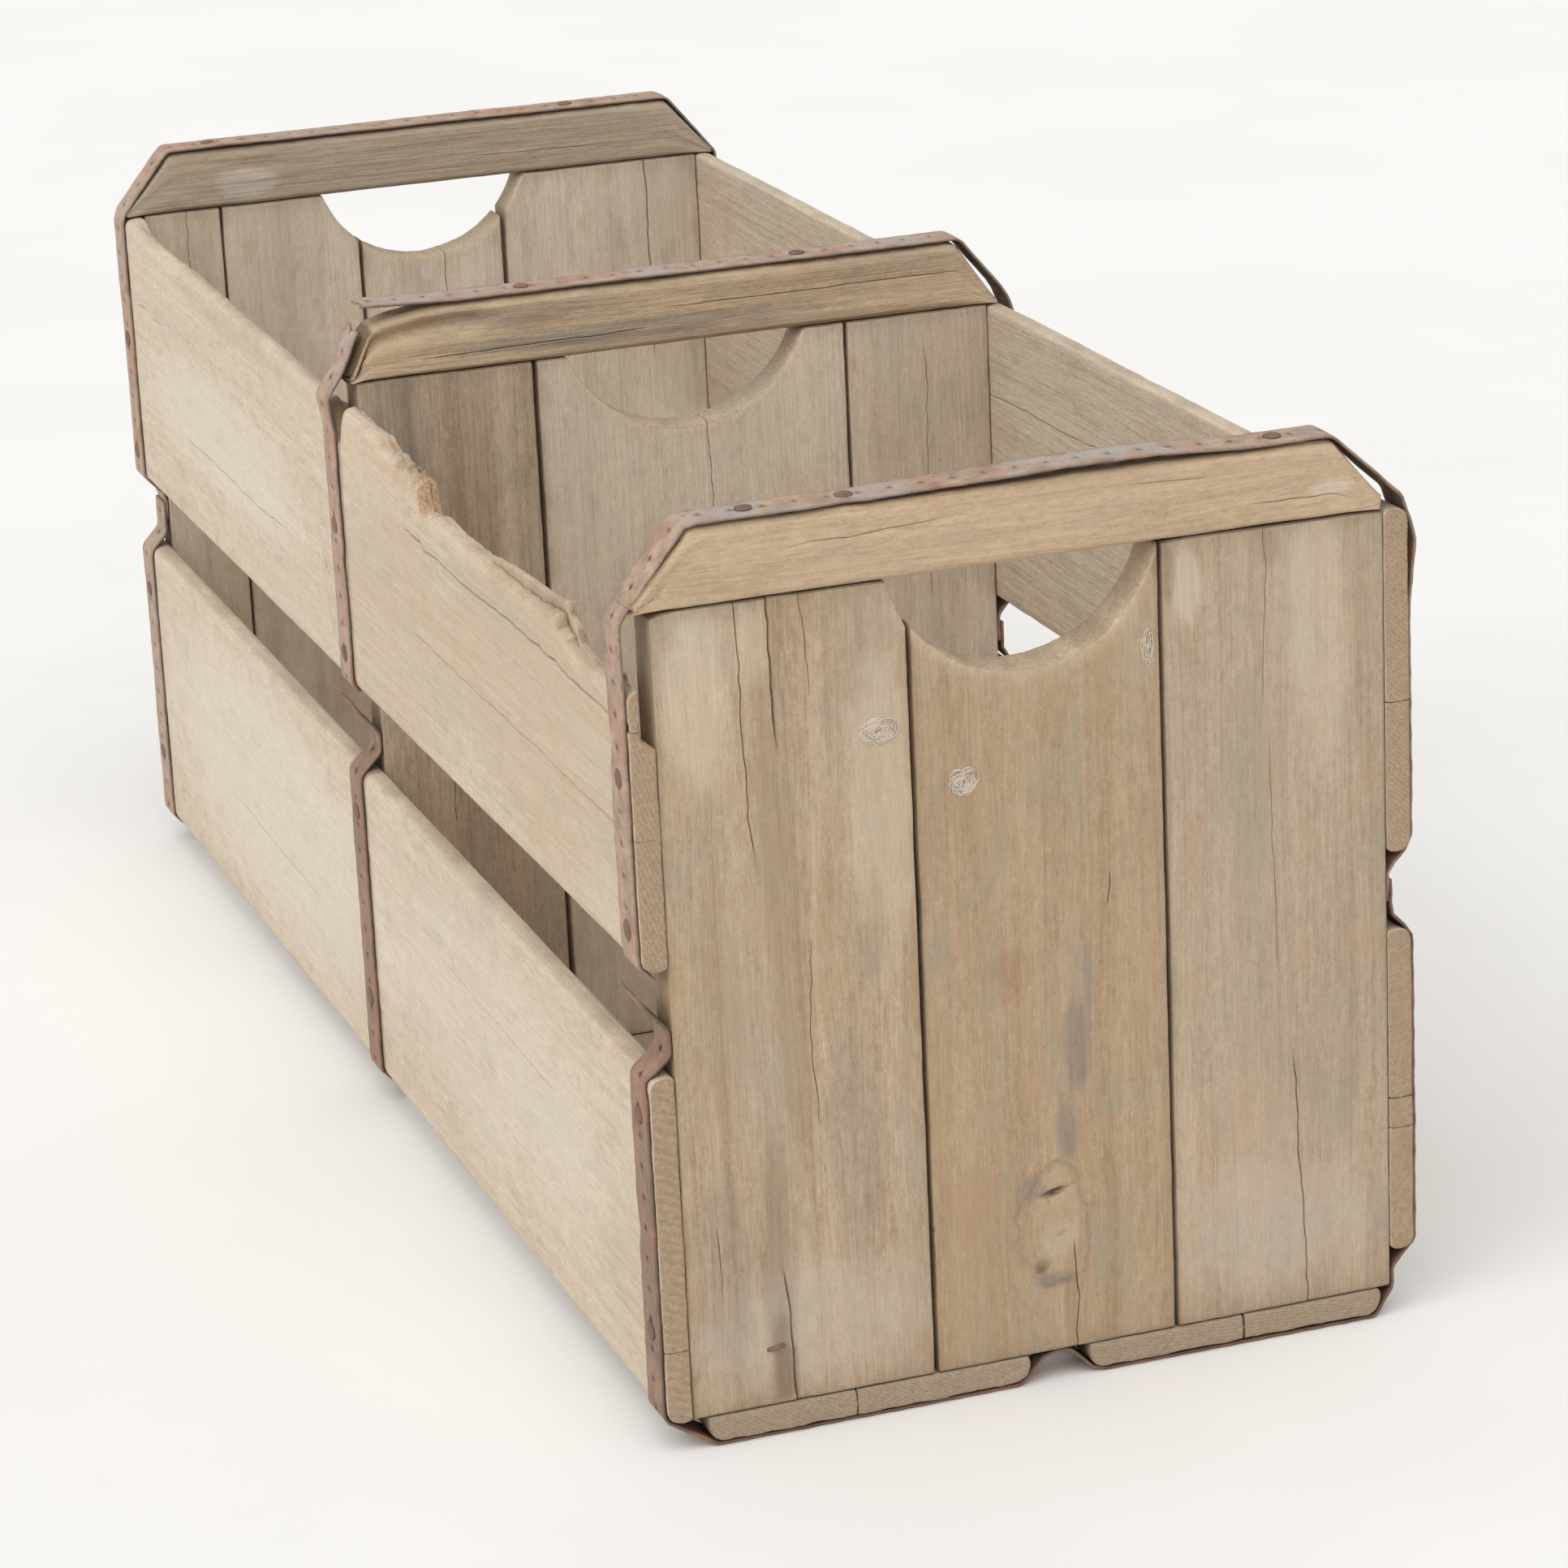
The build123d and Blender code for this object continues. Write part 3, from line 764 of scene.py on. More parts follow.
near_right_look = board_look(
    "near", "right", (0.57, 0.455, 0.335), (0.37, 0.27, 0.185), 8.2,
    stripe=0.55, stain=0.24, weather=0.32, wander=3.0, pitch=2.4, mottle=0.42,
    marks=on_face("Y", FACE, (
        (CREAM, 0.45, 66, 322, 6, 16),
        (CREAM, 0.30, 122, 300, 12, 60),
        ((0.66, 0.47, 0.34), 0.20, 85, 90, 26, 30),
        (PALE_GREY, 0.45, 100, 50, 42, 26),
        (BLUE_GREY, 0.22, 128, 150, 9, 60),
        (GREEN_GREY, 0.35, 92, 235, 9, 40),
        (UMBER, 0.35, 101, 332, 5, 8),
        (UMBER, 0.50, 58.5, 328, 3, 14),
    )),
)


WEB_RADIUS = 0.22


def web_threads(name, centre, size, loops, seed):
    """A flat tangle of spider's thread on the near panel; size is its half width and height."""
    random = np.random.default_rng(seed)
    points, faces = [], []
    for _ in range(loops):
        turns = np.linspace(0, random.uniform(2.5, 6.5), 16) + random.uniform(0, 6.3)
        reach = random.uniform(0.25, 1.0) * (1 + 0.35 * np.sin(turns * random.uniform(1.2, 3)))
        x = centre[0] + size[0] * reach * np.cos(turns) + random.normal(0, 0.6)
        z = centre[1] + size[1] * reach * np.sin(turns) + random.normal(0, 0.6)
        y = FACE - random.uniform(-0.3, 0.6) * np.sin(np.linspace(0, math.pi, 16))
        for n in range(16):
            base = len(points)
            for dx, dz in ((WEB_RADIUS, 0), (0, WEB_RADIUS), (-WEB_RADIUS, 0), (0, -WEB_RADIUS)):
                points.append((x[n] + dx, y[n] + 0.5 * (dx + dz), z[n] + dz))
            if n < 15:
                for k in range(4):
                    beside = base + (k + 1) % 4
                    faces.append((base + k, beside, beside + 4, base + 4 + k))
    make_piece(name, points, faces, web_look, [])


web = Graph("spider_web")
web_tone = web.noise(web.stretch((400, 400, 400)), 1.0, 3.0)
web.feed(web.shader.inputs["Base Color"], web.blend(web_tone, PALE, WEB))
web.shader.inputs["Roughness"].default_value = 0.9
web_look = web.material
web_threads("web_left_board", (-62.4, 281.6), (6.0, 4.6), 46, 91)
web_threads("web_centre_board", (-28.1, 256.0), (4.6, 4.8), 40, 92)
web_threads("web_scoop_corner", (50.0, 298.0), (2.2, 7.0), 12, 93)


def broken_corner(u, v, new_u, new_v, grain):
    """The brown patch left where a sliver has come away beside the bent nail."""
    x_edge = smooth(u, -117, -115.5) * (1 - smooth(u, -108, -106.5))
    z_edge = smooth(v, 14, 17) * (1 - smooth(v, 36, 38))
    return {"grime": 0.55 * x_edge * z_edge}


panel_board(
    "near", "left", near_left_look, seed=11, tops=2.2,
    cracks=(
        Crack([(232, -112.6), (262, -113.8), (340, -116.5)], 0.8, 5, open_end=True),
        Crack([(274, -101.5), (300, -102.8), (340, -103.8)], 1.1, 5, open_end=True, step=0.9),
        Crack([(296, -88), (340, -91)], 0.4, 1.0, open_end=True),
        Crack([(13, -108.6), (38, -109.6), (72, -110.8)], 1.2, 6, open_start=True, step=0.6),
        Crack([(120, -93), (168, -95), (210, -94)], 0.5, 1.2),
        Crack([(60, -135), (95, -136)], 0.5, 1.0),
    ),
    patches=broken_corner,
)
panel_board(
    "near", "centre", near_centre_look, seed=12, step=(1.1, 1.1),
    dents=(
        (4, 81, 5.5, 0.9, 3), (-2, 49, 1.8, 1.1, 0.6), (-47, 74, 0.6, 0.6, 1.5), (7, 63, 2.5, 0.7, 0.5),
        (4, 42, 5, 0.6, 0.4), (-12, 76, 1.2, 4, 0.3),
    ),
    cracks=(
        Crack([(13, 12.0), (35, 13.0), (62, 12.0)], 0.8, 5, open_start=True),
        Crack([(196, 30), (212, 31.5)], 0.7, 1.5),
    ),
)
panel_board(
    "near", "right", near_right_look, seed=13, tops=0.6,
    cracks=(
        Crack([(262, 98.5), (300, 100.0), (340, 100.5)], 0.5, 2, open_end=True),
        Crack([(13, 112.5), (60, 111.5), (125, 107.5)], 0.9, 5, open_start=True),
        Crack([(150, 104), (262, 102)], 0.4, 0.8),
    ),
)

MIDDLE_FACE = -12.5
# The middle boards' light and dark colours are partly painted light, raised to make up for the dimmer
# light inside the crate
middle_left_look = board_look(
    "middle", "left", (0.66, 0.54, 0.40), (0.38, 0.285, 0.195), 2.2,
    stripe=0.75, stain=0.35, stain_colour=UMBER, weather=0.4,
    marks=on_face("Y", MIDDLE_FACE, (
        (BLUE_GREY, 0.45, -135, 300, 14, 60),
        (BROWN, 0.40, -100, 250, 10, 90),
    ), depth=40),
)
middle_centre_look = board_look(
    "middle", "centre", (0.82, 0.71, 0.565), (0.60, 0.50, 0.385), 6.6,
    stripe=0.35, stain=0.15, weather=0.3, wander=1.2, pitch=1.9,
)
middle_right_look = board_look(
    "middle", "right", (0.74, 0.625, 0.49), (0.50, 0.405, 0.305), 9.7,
    stripe=0.5, stain=0.2, stain_colour=BROWN, weather=0.3, pitch=2.2,
)
panel_board("middle", "left", middle_left_look, seed=21, cracks=(
    Crack([(120, -118), (250, -117)], 0.5, 2),
), dents=((-99, 223, 1.2, 0.8, 2), (-96, 224, 0.8, 0.7, 2)))
panel_board("middle", "centre", middle_centre_look, seed=22, cracks=(
    Crack([(130, 15.5), (220, 14.0), (303, 12.5)], 0.6, 4, open_end=True),
))
panel_board("middle", "right", middle_right_look, seed=23, cracks=(
    Crack([(200, 118), (330, 119)], 0.45, 2),
))

DROPPINGS = on_face("Y", 405, ((CHALK, 0.55, -2, 294, 3, 5), (CHALK, 0.4, 6, 285, 2, 7)))
# The far boards' light and dark colours are partly painted light, raised like the middle ones to make
# up for the dimmer light inside the crate
far_boards = (
    ("outer_left", (0.76, 0.65, 0.515), (0.55, 0.45, 0.345), 1.7, ()),
    ("left", (0.84, 0.735, 0.60), (0.63, 0.53, 0.42), 4.5, ()),
    ("centre", (0.84, 0.735, 0.60), (0.63, 0.53, 0.42), 7.9, DROPPINGS),
    ("right", (0.82, 0.715, 0.58), (0.60, 0.505, 0.40), 3.6, ()),
)
far_cracks = (
    Crack([(200, -128), (340, -128)], 0.4, 2, open_end=True),
    Crack([(90, -70), (200, -71)], 0.6, 2),
    Crack([(200, 12.0), (260, 10.0), (302, 8.0)], 0.6, 4, open_end=True),
    Crack([(230, 122), (340, 121)], 0.9, 4, open_end=True),
)
for number, (board, light, dark, seed, marks) in enumerate(far_boards):
    look = board_look(
        "far", board, light, dark, seed, stripe=0.5, stain=0.22, weather=0.35, wander=2.0, pitch=2.2,
        marks=marks, browner_back=0.55,
    )
    panel_board("far", board, look, seed=31 + number, cracks=(far_cracks[number],))

# ---------------------------------------------------------------------------------------------
# Handle rails


def rail(panel, outline, look, seed, cracks=(), frayed=0.0, hollow=None):
    """The bar over a panel; outline holds the (x, z) points of its upper edge."""
    node = f"{panel}_handle_rail"
    low, high = box_mm(node)
    x_points, z_points = zip(*outline)
    fine = np.arange(low[0] - 10, high[0] + 10, 0.5)
    level = np.interp(fine, x_points, z_points)
    window = np.hanning(15)
    level = np.convolve(np.pad(level, 7, mode="edge"), window / window.sum(), "valid")

    def reshape(u, v, base_u, base_v, grain):
        # u runs up the rail and v along it
        share = (base_u - low[2]) / (high[2] - low[2])
        top = np.interp(v, fine, level) - low[2]
        drop = 0.4 * (1 + grain.rough(v / 23, 1.0, 3))
        if frayed:
            near_end = np.exp(-(base_v - low[0]) / 14)
            v = v + frayed * near_end * np.abs(grain.rough(base_u / 2.2, 5.0, 2))
        height = np.clip(top - drop, 1.0, None)
        return low[2] + share * height + (u - base_u) * 0.6, v

    def carve(u, v, new_u, new_v, grain):
        top = 3.0 * smooth(u, high[2] - 5, high[2]) ** 2
        bottom = 1.2 * (1 - smooth(u, low[2], low[2] + 3)) ** 2
        front = top + bottom + 0.7 * grain.rough(u / 5, v / 45, 4) + 0.5
        back = top + bottom + 0.3
        if hollow:
            front = front + hollow(u, v, grain)
        return front, back

    timber(
        node, (2, 0, 1), look, seed, cracks=cracks, reshape=reshape,
        carve=carve, step=(1.5, 2.5), corner=(2.0, 1.5), rough=0.35, edge_wear=0.3,
    )


RAIL_TOP = box_mm("near_handle_rail")[1][2]

near_rail_look = wood(
    "near_rail_wood", "X", (0.66, 0.50, 0.345), (0.44, 0.305, 0.19), 2.9, stripe=0.15, stain=0.15,
    weather=0.15, wander=5.0, pitch=1.5, mottle=0.22,
    marks=on_face("Y", -426, (
        (CHALK, 0.40, 128, 352, 9, 3),
        (FRESH, 0.25, -84, 362, 8, 5),
        (BROWN, 0.35, -128, 347, 14, 3),
        (BROWN, 0.30, 60, 345, 30, 2),
    )),
    end_colour=(0.42, 0.30, 0.19),
)
middle_rail_look = wood(
    "middle_rail_wood", "X", (0.66, 0.51, 0.355), (0.42, 0.30, 0.195), 6.1, stripe=0.4, stain=0.2,
    stain_colour=BLUE_GREY, weather=0.25, wander=4.0, pitch=1.8,
    marks=on_face("Y", -13, (
        (FRESH, 0.30, -134, 354, 16, 9),
        (BLUE_GREY, 0.60, -20, 349, 80, 4.5),
        (BLUE_GREY, 0.45, -75, 362, 34, 4),
        (UMBER, 0.40, 60, 343, 70, 3),
    )),
    end_colour=(0.34, 0.245, 0.155),
)
far_rail_look = wood(
    "far_rail_wood", "X", (0.50, 0.415, 0.315), (0.36, 0.285, 0.21), 9.3, stripe=0.35, stain=0.15,
    weather=0.4, wander=1.5, pitch=2.0,
    marks=on_face("Y", 404, ((CHALK, 0.45, -95, 352, 16, 7),)),
    end_colour=(0.40, 0.32, 0.235),
)


def rotten_groove(u, v, grain):
    """A hollow along the top of the middle rail, towards its rotted left end."""
    along = smooth(v, -152, -140) * (1 - smooth(v, -112, -70))
    return 5.0 * along * np.exp(-(((u - 362) / 4) ** 2)) * (1 + 0.5 * grain.rough(v / 4, u / 4, 2))


rail(
    "near",
    ((-158, 343), (-133, 371), (129.5, 371), (149.5, 346)),
    near_rail_look, 41, frayed=5.0,
    cracks=(
        Crack([(-100, 357), (-70, 359), (-28, 363)], 0.4, 1.0),
        Crack([(40, 362), (80, 361)], 0.4, 0.8),
        Crack([(90, 350), (140, 349)], 0.4, 0.8),
    ),
)
rail(
    "middle",
    ((-154, 342), (-143.5, 364), (-131, 368), (-112, 371), (136, 371), (155, 342)),
    middle_rail_look, 42, frayed=6.0, hollow=rotten_groove,
    cracks=(
        Crack([(-125, 347), (-60, 348.5), (-10, 349)], 0.6, 1.6),
        Crack([(-10, 358), (80, 357), (140, 358)], 0.5, 1.2),
    ),
)
rail(
    "far",
    ((-159.5, 342), (-134.8, 371), (134.8, 371), (159.5, 342)),
    far_rail_look, 43,
    cracks=(Crack([(20, 352), (110, 351)], 0.4, 1.0),),
)

# ---------------------------------------------------------------------------------------------
# Side and floor boards


def side_look(name, seed, tint=1.0, marks=(), knots=()):
    light = shade((0.76, 0.655, 0.52), tint)
    dark = shade((0.53, 0.43, 0.315), tint)
    return wood(
        name, "Y", light, dark, seed, stripe=0.2, stain=0.22,
        stain_colour=(0.50, 0.385, 0.26),
        weather=0.3,
        weather_colour=(0.60, 0.535, 0.44),
        wander=3.5, marks=marks, knots=knots, pitch=3.0,
        end_colour=(0.565, 0.41, 0.275),
    )


PANEL_HALF = 150.0
SIDE_FACE = 160.5
LEFT_FACE = -SIDE_FACE
LOWER_NEAR_TOP = 157.0  # of the lower left board, which is worn low at its near end
upper_left_look = side_look(
    "upper_left_board_wood", 1.3,
    marks=on_face("X", LEFT_FACE, (
        ((0.53, 0.41, 0.28), 0.60, -320, 270, 150, 60),
        ((0.54, 0.42, 0.29), 0.50, -90, 250, 90, 60),
        (FRESH, 0.18, -60, 318, 60, 9),
        ((0.50, 0.37, 0.25), 0.40, 190, 325, 110, 6),
        (CHALK, 0.40, 220, 262, 150, 28),
        ((0.50, 0.42, 0.33), 0.35, -250, 300, 60, 8),
    )),
    knots=(((LEFT_FACE, 26, 250), 5),),
)
lower_left_look = side_look(
    "lower_left_board_wood", 4.9,
    marks=on_face("X", LEFT_FACE, (
        ((0.45, 0.34, 0.23), 0.25, -395, 60, 40, 30),
        (CHALK, 0.45, 180, 90, 220, 60),
        (CHALK, 0.25, -200, 90, 160, 50),
    )),
)
upper_right_look = side_look("upper_right_board_wood", 7.7, 0.98)
lower_right_look = side_look("lower_right_board_wood", 10.3, 0.98)

# What is left of the upper left board's top edge, as (y, z)
BROKEN_EDGE = (
    (-426, 311), (-404, 312), (-388, 309), (-372, 307), (-356, 307.5), (-348, 309), (-345, 313),
    (-336, 317), (-333, 322), (-300, 319), (-262, 318), (-228, 314.5), (-183, 313.5), (-160, 315),
    (-145, 313), (-142, 321), (-137, 326), (-114, 326.5), (-98, 325), (-84, 327), (-74, 331),
    (-43, 331), (-24, 332), (-19, 326), (-16, 315), (-12, 313), (-6, 322), (2, 330), (63, 330.5),
    (123, 332), (218, 333.5), (297, 335), (331, 334), (392, 336), (401, 339.6), (426, 340),
)


def worn_top(u, v, level, grain):
    """The worn top edge falls away inwards, and is grooved where the splinter has split off."""
    at_top = smooth(u, 325, 339)
    splinter = smooth(v, -352, -335) * (1 - smooth(v, -270, -225))
    torn = smooth(v, -160, -140) * (1 - smooth(v, -100, -70))
    groove = np.exp(-(((level - 0.25) / 0.2) ** 2)) * (8 + 3 * grain.rough(v / 9, 4.0, 3))
    fall = 1.2 * (1 - 2 * level) * smooth(v, -110, -40) * (1 - smooth(v, 385, 398))
    lumps = 2.2 * grain.rough(v / 5, level * 3.1 + 9, 3) * (0.3 + torn) * (1 - smooth(v, 385, 398))
    return at_top * (fall + lumps - splinter * groove - 2.5 * splinter * (1 - level))


def side_board(
    node, look, seed, cracks=(), top=None, near_top=None, notch=None, paint=None, slant=None
):
    """A long board on one side; its outer edges are rounded."""
    low, high = box_mm(node)
    outer_is_front = low[0] < 0

    def reshape(u, v, base_u, base_v, grain):
        # u is the height and v runs along the board
        if near_top is not None:
            fall = (high[2] - near_top) * (high[1] - base_v) / (high[1] - low[1])
            u = u - fall * (base_u - low[2]) / (high[2] - low[2])
        if top:
            y_points, z_points = zip(*top)
            torn = smooth(base_v, -160, -140) * (1 - smooth(base_v, -100, -70))
            ragged = 1.5 * grain.rough(base_v / 3.2, 8.0, 3) * (torn + 0.25 * (base_v < -30))
            drop = high[2] - np.interp(base_v, y_points, z_points) - ragged
            u = u - np.clip(drop, 0, None) * smooth(base_u, high[2] - 52, high[2])
        return u, v

    def carve(u, v, new_u, new_v, grain):
        long_edge = np.minimum(u - low[2], high[2] - u)
        outer = rounding(long_edge, 5.0) * (1 + 0.2 * grain.rough(v / 30, 3.0, 2))
        inner = rounding(long_edge, 2.2) * (1 + 0.4 * grain.rough(v / 20, 8.0, 2))
        front, back = (outer, inner) if outer_is_front else (inner, outer)
        if notch:
            cut = notch(new_u, new_v, grain)
            front, back = (front, back + cut) if outer_is_front else (front + cut, back)
        return front, back

    timber(
        node, (2, 1, 0), look, seed, cracks=cracks, reshape=reshape, carve=carve,
        paint=paint, step=(2.4, 2.6), corner=(1.0, 1.0), rough=0.35, edge_wear=0.3, slant=slant,
    )


def near_notch(z, y, grain):
    """The piece that is broken out of the inner face beside the near panel."""
    return 5.5 * smooth(z, 288, 291) * (1 - smooth(y, -400, -396))


def broken_paint(u, v, new_u, new_v, grain):
    """Bare orange wood along the broken top edge, darker hollows, and by the strap a painted shadow
    with a rust stain.
    """
    from_top = (340 - u)[..., None]
    along = v[..., None]
    level = np.linspace(0, 1, LAYERS + 1)
    patchy = smooth(grain.rough(v / 12, u / 7, 3), -0.3, 0.5)[..., None]
    worst = np.exp(-(((along + 118) / 36) ** 2)) + 0.35 * np.exp(-(((along + 300) / 50) ** 2))
    worst = worst + 0.45 * np.exp(-(((along - 190) / 80) ** 2)) + 0.25 * smooth(-along, 20, 50)
    torn = np.exp(-from_top / 8) * patchy * worst
    at_top = np.exp(-from_top / 5)
    splinter = smooth(along, -352, -335) * (1 - smooth(along, -270, -225))
    groove = 1.0 * at_top * splinter * np.exp(-(((level - 0.22) / 0.16) ** 2))
    pits = 0.7 * at_top * smooth(grain.rough(v / 5, u / 3 + 40, 3), 0.25, 0.6)[..., None]
    pits = pits * np.exp(-(((along + 125) / 30) ** 2))
    rot = 0.6 * np.exp(-(((along - 27) / 4) ** 2)) * np.exp(-(((from_top - 92) / 6) ** 2))
    rot = rot * smooth(grain.rough(v / 3, u / 4, 3), -0.1, 0.4)[..., None]
    grime = strap_shadow_and_stain(v)[..., None] + groove + pits + rot
    return {"fresh": 0.75 * torn + 0 * level, "grime": grime}


def strap_shadow_and_stain(v):
    """A dark line and a faint stain beside the middle strap; the line is painted shadow of the strap's
    edge together with a rust stain.
    """
    return 0.6 * np.exp(-(((v + 13.2) / 0.8) ** 2)) + 0.22 * np.exp(-(((v + 6) / 9) ** 2))


def strap_shadow(u, v, new_u, new_v, grain):
    return {"grime": strap_shadow_and_stain(v)}


side_board(
    "side_board_upper_left", upper_left_look, 51, top=BROKEN_EDGE, notch=near_notch, paint=broken_paint,
    slant=worn_top,
    cracks=(
        Crack([(-426, 301), (-368, 303), (-250, 303), (-110, 303)], 1.5, 4, "both", True, step=0.7),
        Crack([(-426, 253), (-300, 254), (-115, 255)], 0.6, 1.5, "front", True),
        Crack([(-210, 322), (-170, 322), (-110, 323)], 0.6, 1.5, "front"),
        Crack([(90, 246.5), (200, 246), (310, 247)], 0.7, 1.6),
        Crack([(330, 297), (426, 299)], 0.6, 1.5, open_end=True),
    ),
)
side_board(
    "side_board_lower_left", lower_left_look, 52, near_top=LOWER_NEAR_TOP, paint=strap_shadow,
    cracks=(
        Crack([(-426, 45), (-400, 45.5), (-360, 46)], 1.0, 4, "both", True),
        Crack([(-300, 110), (-120, 112)], 0.6, 1.8),
        Crack([(80, 70), (260, 72)], 0.6, 1.8),
    ),
)
side_board(
    "side_board_upper_right", upper_right_look, 53,
    cracks=(
        Crack([(-426, 262), (-330, 260)], 1.0, 4, "both", True),
        Crack([(-200, 300), (60, 297)], 0.8, 2.5, "both"),
        Crack([(120, 240), (320, 243)], 0.8, 2.5, "both"),
    ),
)
side_board(
    "side_board_lower_right", lower_right_look, 54,
    cracks=(
        Crack([(-426, 95), (-395, 95.5), (-340, 96)], 1.1, 5, "both", True),
        Crack([(-426, 82), (-350, 83)], 0.8, 3, "both", True),
        Crack([(-100, 120), (150, 118)], 0.6, 2, "both"),
    ),
)

FLOOR_EDGE = 7.0
for node, seed, cracks in (
    ("floor_board_left", 61, (Crack([(-426, -82), (-340, -81.5), (-260, -82)], 1.2, 5, "both", True),)),
    ("floor_board_right", 62, (Crack([(-426, 84.5), (-330, 84), (-180, 85)], 1.7, 5.5, "both", True),)),
):
    low, high = box_mm(node)
    look = wood(
        f"{node}_wood", "Y", (0.50, 0.41, 0.30), (0.31, 0.24, 0.165), seed * 0.21, stripe=0.5,
        stain=0.4, stain_colour=UMBER, weather=0.4,
        end_colour=(0.52, 0.40, 0.28),
    )

    def carve(u, v, new_u, new_v, grain, low=low, high=high):
        edge = np.minimum(u - low[0], high[0] - u)
        ragged = 0.8 * (1 + grain.rough(u / 7, 2.0, 3)) * np.exp(-(v - low[1]) / 5)
        return rounding(edge, FLOOR_EDGE) + ragged, 0 * edge

    timber(
        node, (0, 1, 2), look, seed, cracks=cracks, carve=carve,
        step=(2.6, 4.5), corner=(1.0, 1.0), rough=0.3,
    )

# ---------------------------------------------------------------------------------------------
# Straps

STRAP_THICK = 1.5
STRAP_WIDTH = 19.0
STRAP_HALF = STRAP_WIDTH / 2
STRAP_BEND = 5.75
HOLE_PITCH = 12.7
FIRST_HOLE = 6.0  # along the strap, from its end
UPPER_Z = 199.5
LOWER_RIGHT_TOP = 167.0
# Middle line of a strap: on the side boards, on the panel's edge, on the rail, under the floor
# boards and under the panel
OUT = SIDE_FACE + STRAP_THICK / 2
IN = PANEL_HALF + STRAP_THICK / 2
OVER = 371.0 + STRAP_THICK / 2
UNDER = STRAP_THICK / 2
PANEL_UNDER = PANEL_FOOT - STRAP_THICK / 2
LOWER_RIGHT_FOOT = 29.0
TURN = 2.6
DIP = OUT - IN - TURN
NEAR_Y, MIDDLE_Y, FAR_Y = -415.0, -2.5, 415.0


def into_slot(side):
    """Round the upper board's lower edge and in to the panel's edge, where the strap ends."""
    return [(side * OUT, UPPER_Z + TURN), (side * IN, UPPER_Z - DIP), (side * IN, UPPER_Z - DIP - 13)]


def out_of_slot(side, lower_top):
    """From a lap on the upper strap's end, out round the lower board's upper edge."""
    lap = STRAP_THICK
    return [
        (side * (IN + lap), UPPER_Z - DIP - 4),
        (side * (IN + lap), lower_top + DIP - lap),
        (side * OUT, lower_top - TURN),
    ]


def lower_left_top(y):
    """Level of the lower left board's top edge under a strap at y."""
    low, high = box_mm("side_board_lower_left")
    share = (y + STRAP_WIDTH - low[1]) / (high[1] - low[1])
    return LOWER_NEAR_TOP + share * (high[2] - LOWER_NEAR_TOP)


def torn_end(y, tip):
    """The lower strap's torn end, which curls out of the left slot to tip."""
    lower_top = lower_left_top(y)
    return [
        tip, (tip[0] + 5.5, tip[1] - 8), (-IN, tip[1] - 17), (-IN, lower_top + DIP),
        (-OUT, lower_top - TURN),
    ]


UNDER_FLOOR = [
    (-OUT, PANEL_FOOT + 1.5), (-139.8, UNDER), (-12.1, UNDER), (-0.6, PANEL_UNDER), (9.1, PANEL_UNDER),
    (20.6, UNDER), (143.5, UNDER),
    (IN + 0.45, PANEL_FOOT + 0.2),
    (IN + 0.25, PANEL_FOOT + 8.3),
    (OUT, LOWER_RIGHT_FOOT + TURN),
]
RIGHT_LAP = list(reversed(out_of_slot(1, LOWER_RIGHT_TOP)))

STRAPS = {
    "near_strap_upper": (
        NEAR_Y,
        [(-IN - 3.5, UPPER_Z - 4.4), (-OUT, UPPER_Z + TURN), (-OUT, 337.2)]
        + [(-133.4, OVER), (-60.0, OVER), (20.0, OVER + 2.3), (55.0, OVER + 2.3), (95.0, OVER)]
        + [(129.5, OVER), (158.5, 344.5), (164.25, 327.0), (OUT, 298.0)]
        + into_slot(1),
    ),
    "near_strap_lower": (NEAR_Y, torn_end(NEAR_Y, (-164.2, 192.0)) + UNDER_FLOOR + RIGHT_LAP),
    "middle_strap_upper": (
        MIDDLE_Y,
        [(-146.0, OVER + 2), (-120.0, OVER + 0.8), (-100.0, OVER), (137.5, OVER)]
        + [(159.5, 345.0), (164.25, 333.0), (OUT, 308.0)]
        + into_slot(1),
    ),
    "middle_strap_left": (
        MIDDLE_Y,
        [(-158.0, UPPER_Z - 0.7), (-OUT, UPPER_Z + TURN), (-OUT, 318.0)]
        + [(-163.7, 334.0), (-155.0, 346.0), (-150.5, 356.0), (-146.5, 363.5)],
    ),
    "middle_strap_lower": (MIDDLE_Y, torn_end(MIDDLE_Y, (-163.8, 195.0)) + UNDER_FLOOR + RIGHT_LAP),
    "far_strap_upper": (
        FAR_Y,
        list(reversed(into_slot(-1)))
        + [(-OUT, 339.7), (-135.4, OVER), (135.4, OVER), (OUT, 339.7)]
        + into_slot(1),
    ),
    "far_strap_lower": (FAR_Y, out_of_slot(-1, lower_left_top(FAR_Y)) + UNDER_FLOOR + RIGHT_LAP),
}


